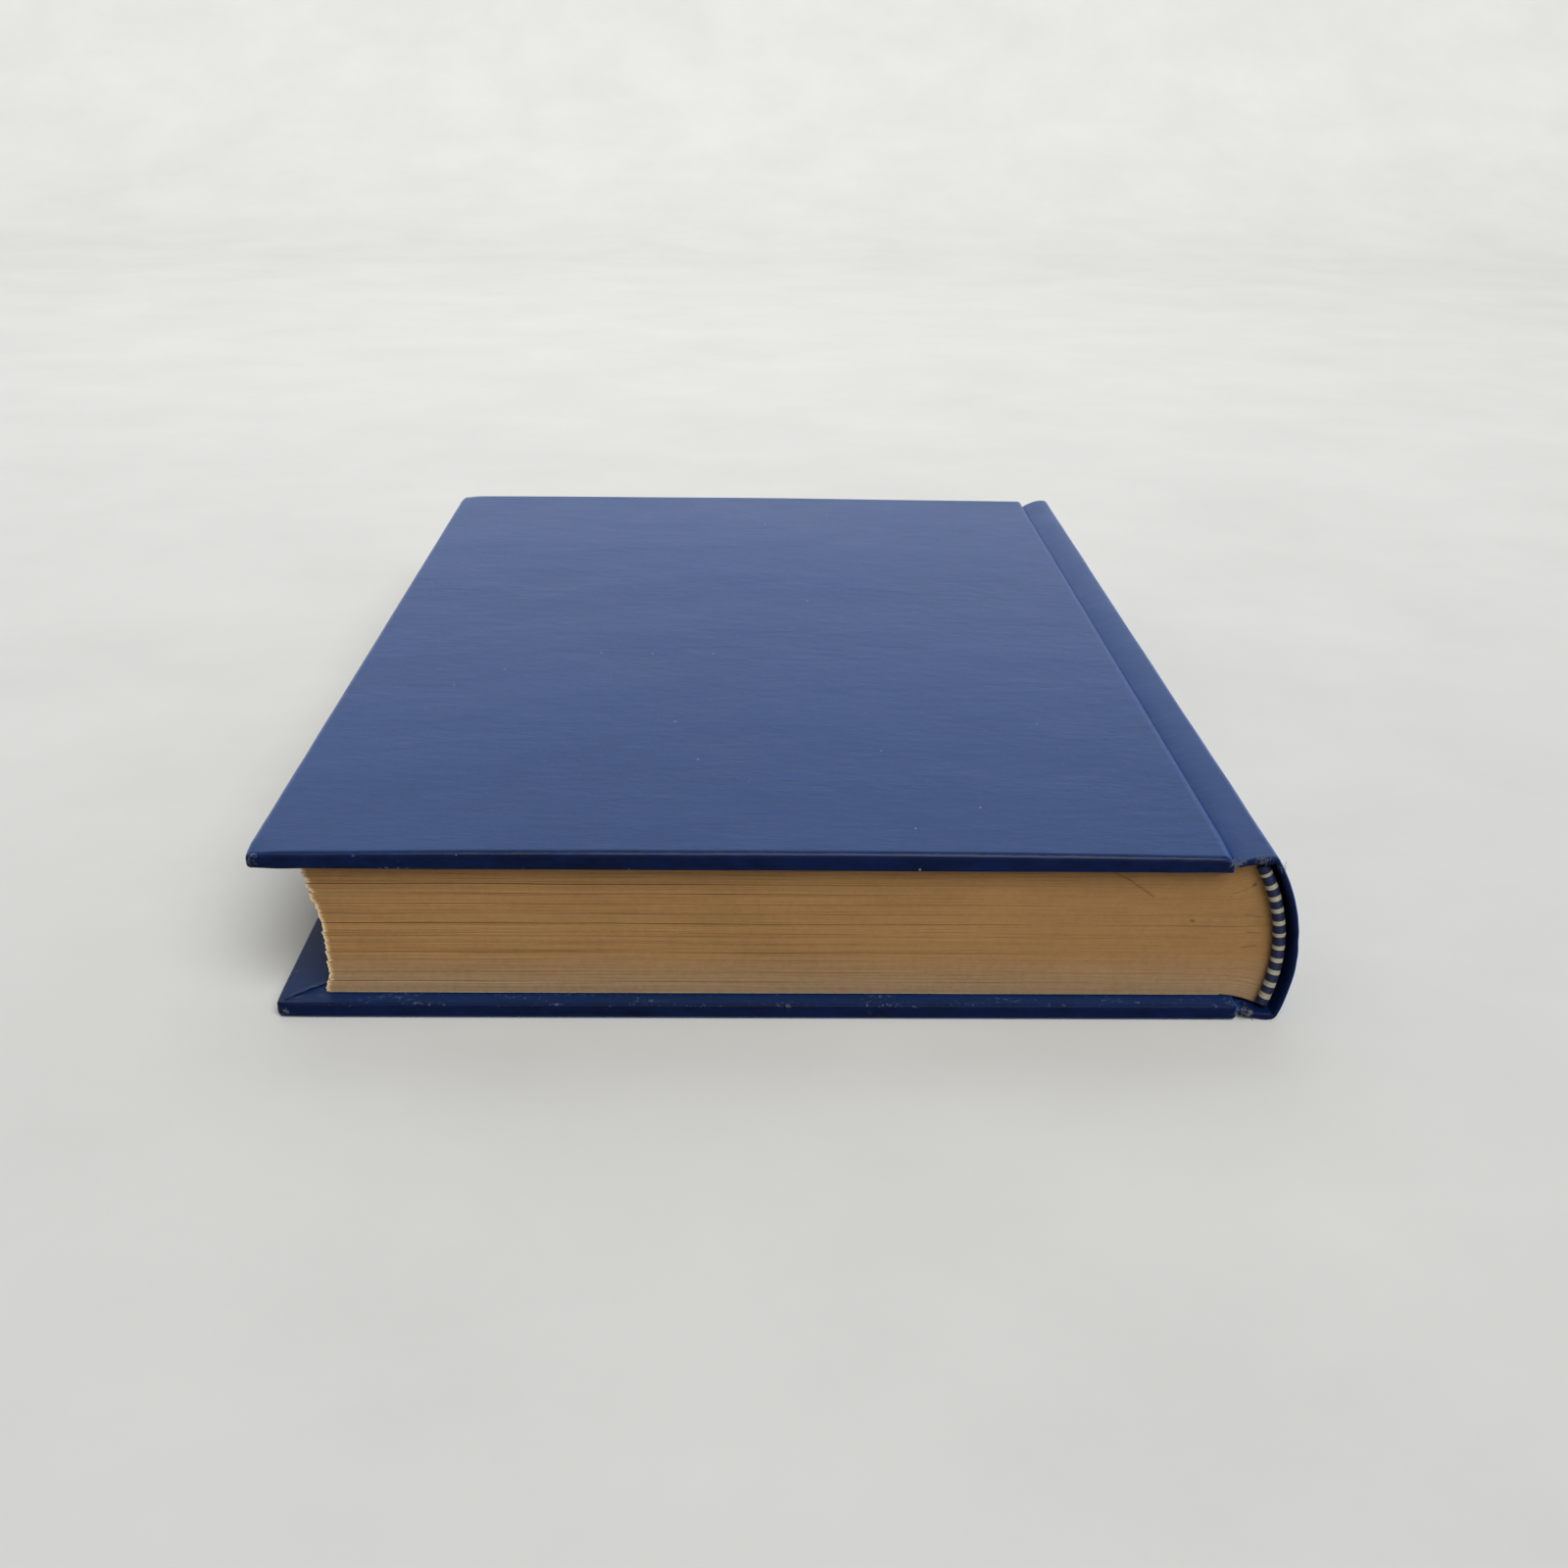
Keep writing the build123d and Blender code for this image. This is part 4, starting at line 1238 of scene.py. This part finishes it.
class BOOK_OT_stage(bpy.types.Operator):
    """Pale paper sweep, soft light and the camera"""

    bl_idname = "book.stage"
    bl_label = "Stage"

    def execute(self, context):
        scene = context.scene
        scene.view_settings.view_transform = "Standard"
        self.sweep()
        self.light(scene)
        self.camera(scene)
        return {"FINISHED"}

    def sweep(self):
        """Floor that curves up into a backdrop."""
        material, tree, shader = new_material("sweep_paper")
        place = add_node(tree, "TexCoord")["Object"]
        # Clouded fibre in patches of 60 mm with detail down to a millimetre
        clouds = {"Vector": place, "Scale": per_mm(60), "Detail": 7.0, "Roughness": 0.62}
        cloud = add_node(tree, "TexNoise", clouds)["Fac"]
        share = add_node(tree, "MapRange", {"Value": cloud, "From Min": 0.3, "From Max": 0.7})["Result"]
        pale = colours().floor
        tints = {MIX_FACTOR: share, MIX_A: rgba(pale, 0.955), MIX_B: rgba(pale, 1.025)}
        shade = add_node(tree, "Mix", tints, data_type="RGBA")[MIX_RESULT]
        fill(tree, shader, {"Base Color": shade, "Roughness": 0.9, "Specular IOR Level": 0.1})
        bend, behind = 0.6, 0.9
        profile = [(-2.5, 0.0), (0.0, 0.0), (behind, 0.0)]
        for a in np.linspace(-math.pi / 2, 0, 24)[1:]:
            profile.append((behind + bend * math.cos(a), bend + bend * math.sin(a)))
        profile.append((behind + bend, 2.4))
        points = [(x, y, z) for x in (-3.0, 3.0) for y, z in profile]
        steps = len(profile)
        faces = [(i, i + steps, i + steps + 1, i + 1) for i in range(steps - 1)]
        floor = make_piece("sweep", points, faces, [material])

    def light(self, scene):
        world = bpy.data.worlds.new("studio")
        world.use_nodes = True
        tree = world.node_tree
        # Seen and mirrored as a pale backdrop, but only a low fill as a light
        path = add_node(tree, "LightPath")
        seen = path["Is Camera Ray"]
        for ray in ("Is Glossy Ray", "Is Transmission Ray"):
            seen = add_node(tree, "Math", {0: seen, 1: path[ray]}, operation="MAXIMUM")[0]
        levels = {"Value": seen, "From Min": 0.0, "From Max": 1.0, "To Min": 0.18, "To Max": 0.72}
        strength = add_node(tree, "MapRange", levels)["Result"]
        fill(tree, tree.nodes["Background"], {"Color": (0.95, 0.97, 1.0, 1.0), "Strength": strength})
        scene.world = world
        # Light from a broad window behind the camera on the right, as even as daylight
        window = bpy.data.lights.new("window", "SUN")
        window.angle = math.radians(46)
        window.energy = 3.12
        window.color = (1.0, 0.99, 0.97)
        self.hang(scene, window, (0.9, -2.5, 2.9), (0, 0, 0))
        softbox = bpy.data.lights.new("floor_softbox", "AREA")
        softbox.shape = "SQUARE"
        softbox.size = 0.7
        softbox.energy = 1.5
        softbox.color = (1.0, 0.995, 0.985)
        self.hang(scene, softbox, (-0.05, 0.5, 0.6), (-0.05, 0.45, 0))

    def hang(self, scene, lamp, place, aim):
        """Puts a lamp in the scene, turned to what it lights."""
        holder = bpy.data.objects.new(lamp.name, lamp)
        holder.location = place
        heading = Vector(aim) - Vector(place)
        holder.rotation_euler = heading.to_track_quat("-Z", "Y").to_euler()
        scene.collection.objects.link(holder)

    def camera(self, scene):
        """Camera solved from the corners of the two covers in the photo."""
        pitch, yaw, roll = (math.radians(a) for a in (21.5, 1.56, -0.91))
        level = Vector((math.sin(yaw), math.cos(yaw), 0))
        forward = level * math.cos(pitch) - Vector((0, 0, math.sin(pitch)))
        right = Vector((math.cos(yaw), -math.sin(yaw), 0))
        down = forward.cross(right)
        across = right * math.cos(roll) + down * math.sin(roll)
        below = down * math.cos(roll) - right * math.sin(roll)
        lens = bpy.data.cameras.new("camera")
        lens.sensor_width = 36.0
        lens.lens = 43.43
        lens.clip_start = 0.01
        camera = bpy.data.objects.new("camera", lens)
        turn = Matrix((across, -below, -forward)).transposed().to_4x4()
        camera.matrix_world = Matrix.Translation((-0.0065, -0.3451, 0.1294)) @ turn
        scene.collection.objects.link(camera)
        scene.camera = camera


PIECES = (
    BOOK_OT_leaves,
    BOOK_OT_cover_cloth,
    BOOK_OT_spine_cloth,
    BOOK_OT_spine_card,
    BOOK_OT_joints,
    BOOK_OT_pastedowns,
    BOOK_OT_flyleaves,
    BOOK_OT_headbands,
    BOOK_OT_frays,
    BOOK_OT_inner_layers,
    BOOK_OT_stage,
)


class BOOK_PT_panel(bpy.types.Panel):
    """Lists the book's pieces, sizes and colours"""

    bl_idname = "BOOK_PT_panel"
    bl_label = "Cloth-bound Book"
    bl_space_type = "VIEW_3D"
    bl_region_type = "UI"
    bl_category = "Book"

    def draw(self, context):
        for operator in PIECES:
            self.layout.operator(operator.bl_idname)
        for group in (context.scene.book_sizes, context.scene.book_colours):
            column = self.layout.column(align=True)
            for name in group.__annotations__:
                column.prop(group, name)


CLASSES = (BookSizes, BookColours, *PIECES, BOOK_PT_panel)


def register():
    for item in CLASSES:
        bpy.utils.register_class(item)
    bpy.types.Scene.book_sizes = bpy.props.PointerProperty(type=BookSizes)
    bpy.types.Scene.book_colours = bpy.props.PointerProperty(type=BookColours)


def unregister():
    del bpy.types.Scene.book_colours
    del bpy.types.Scene.book_sizes
    for item in reversed(CLASSES):
        bpy.utils.unregister_class(item)


def main():
    register()
    for operator in PIECES:
        group, name = operator.bl_idname.split(".")
        getattr(getattr(bpy.ops, group), name)()


if __name__ == "__main__":
    main()
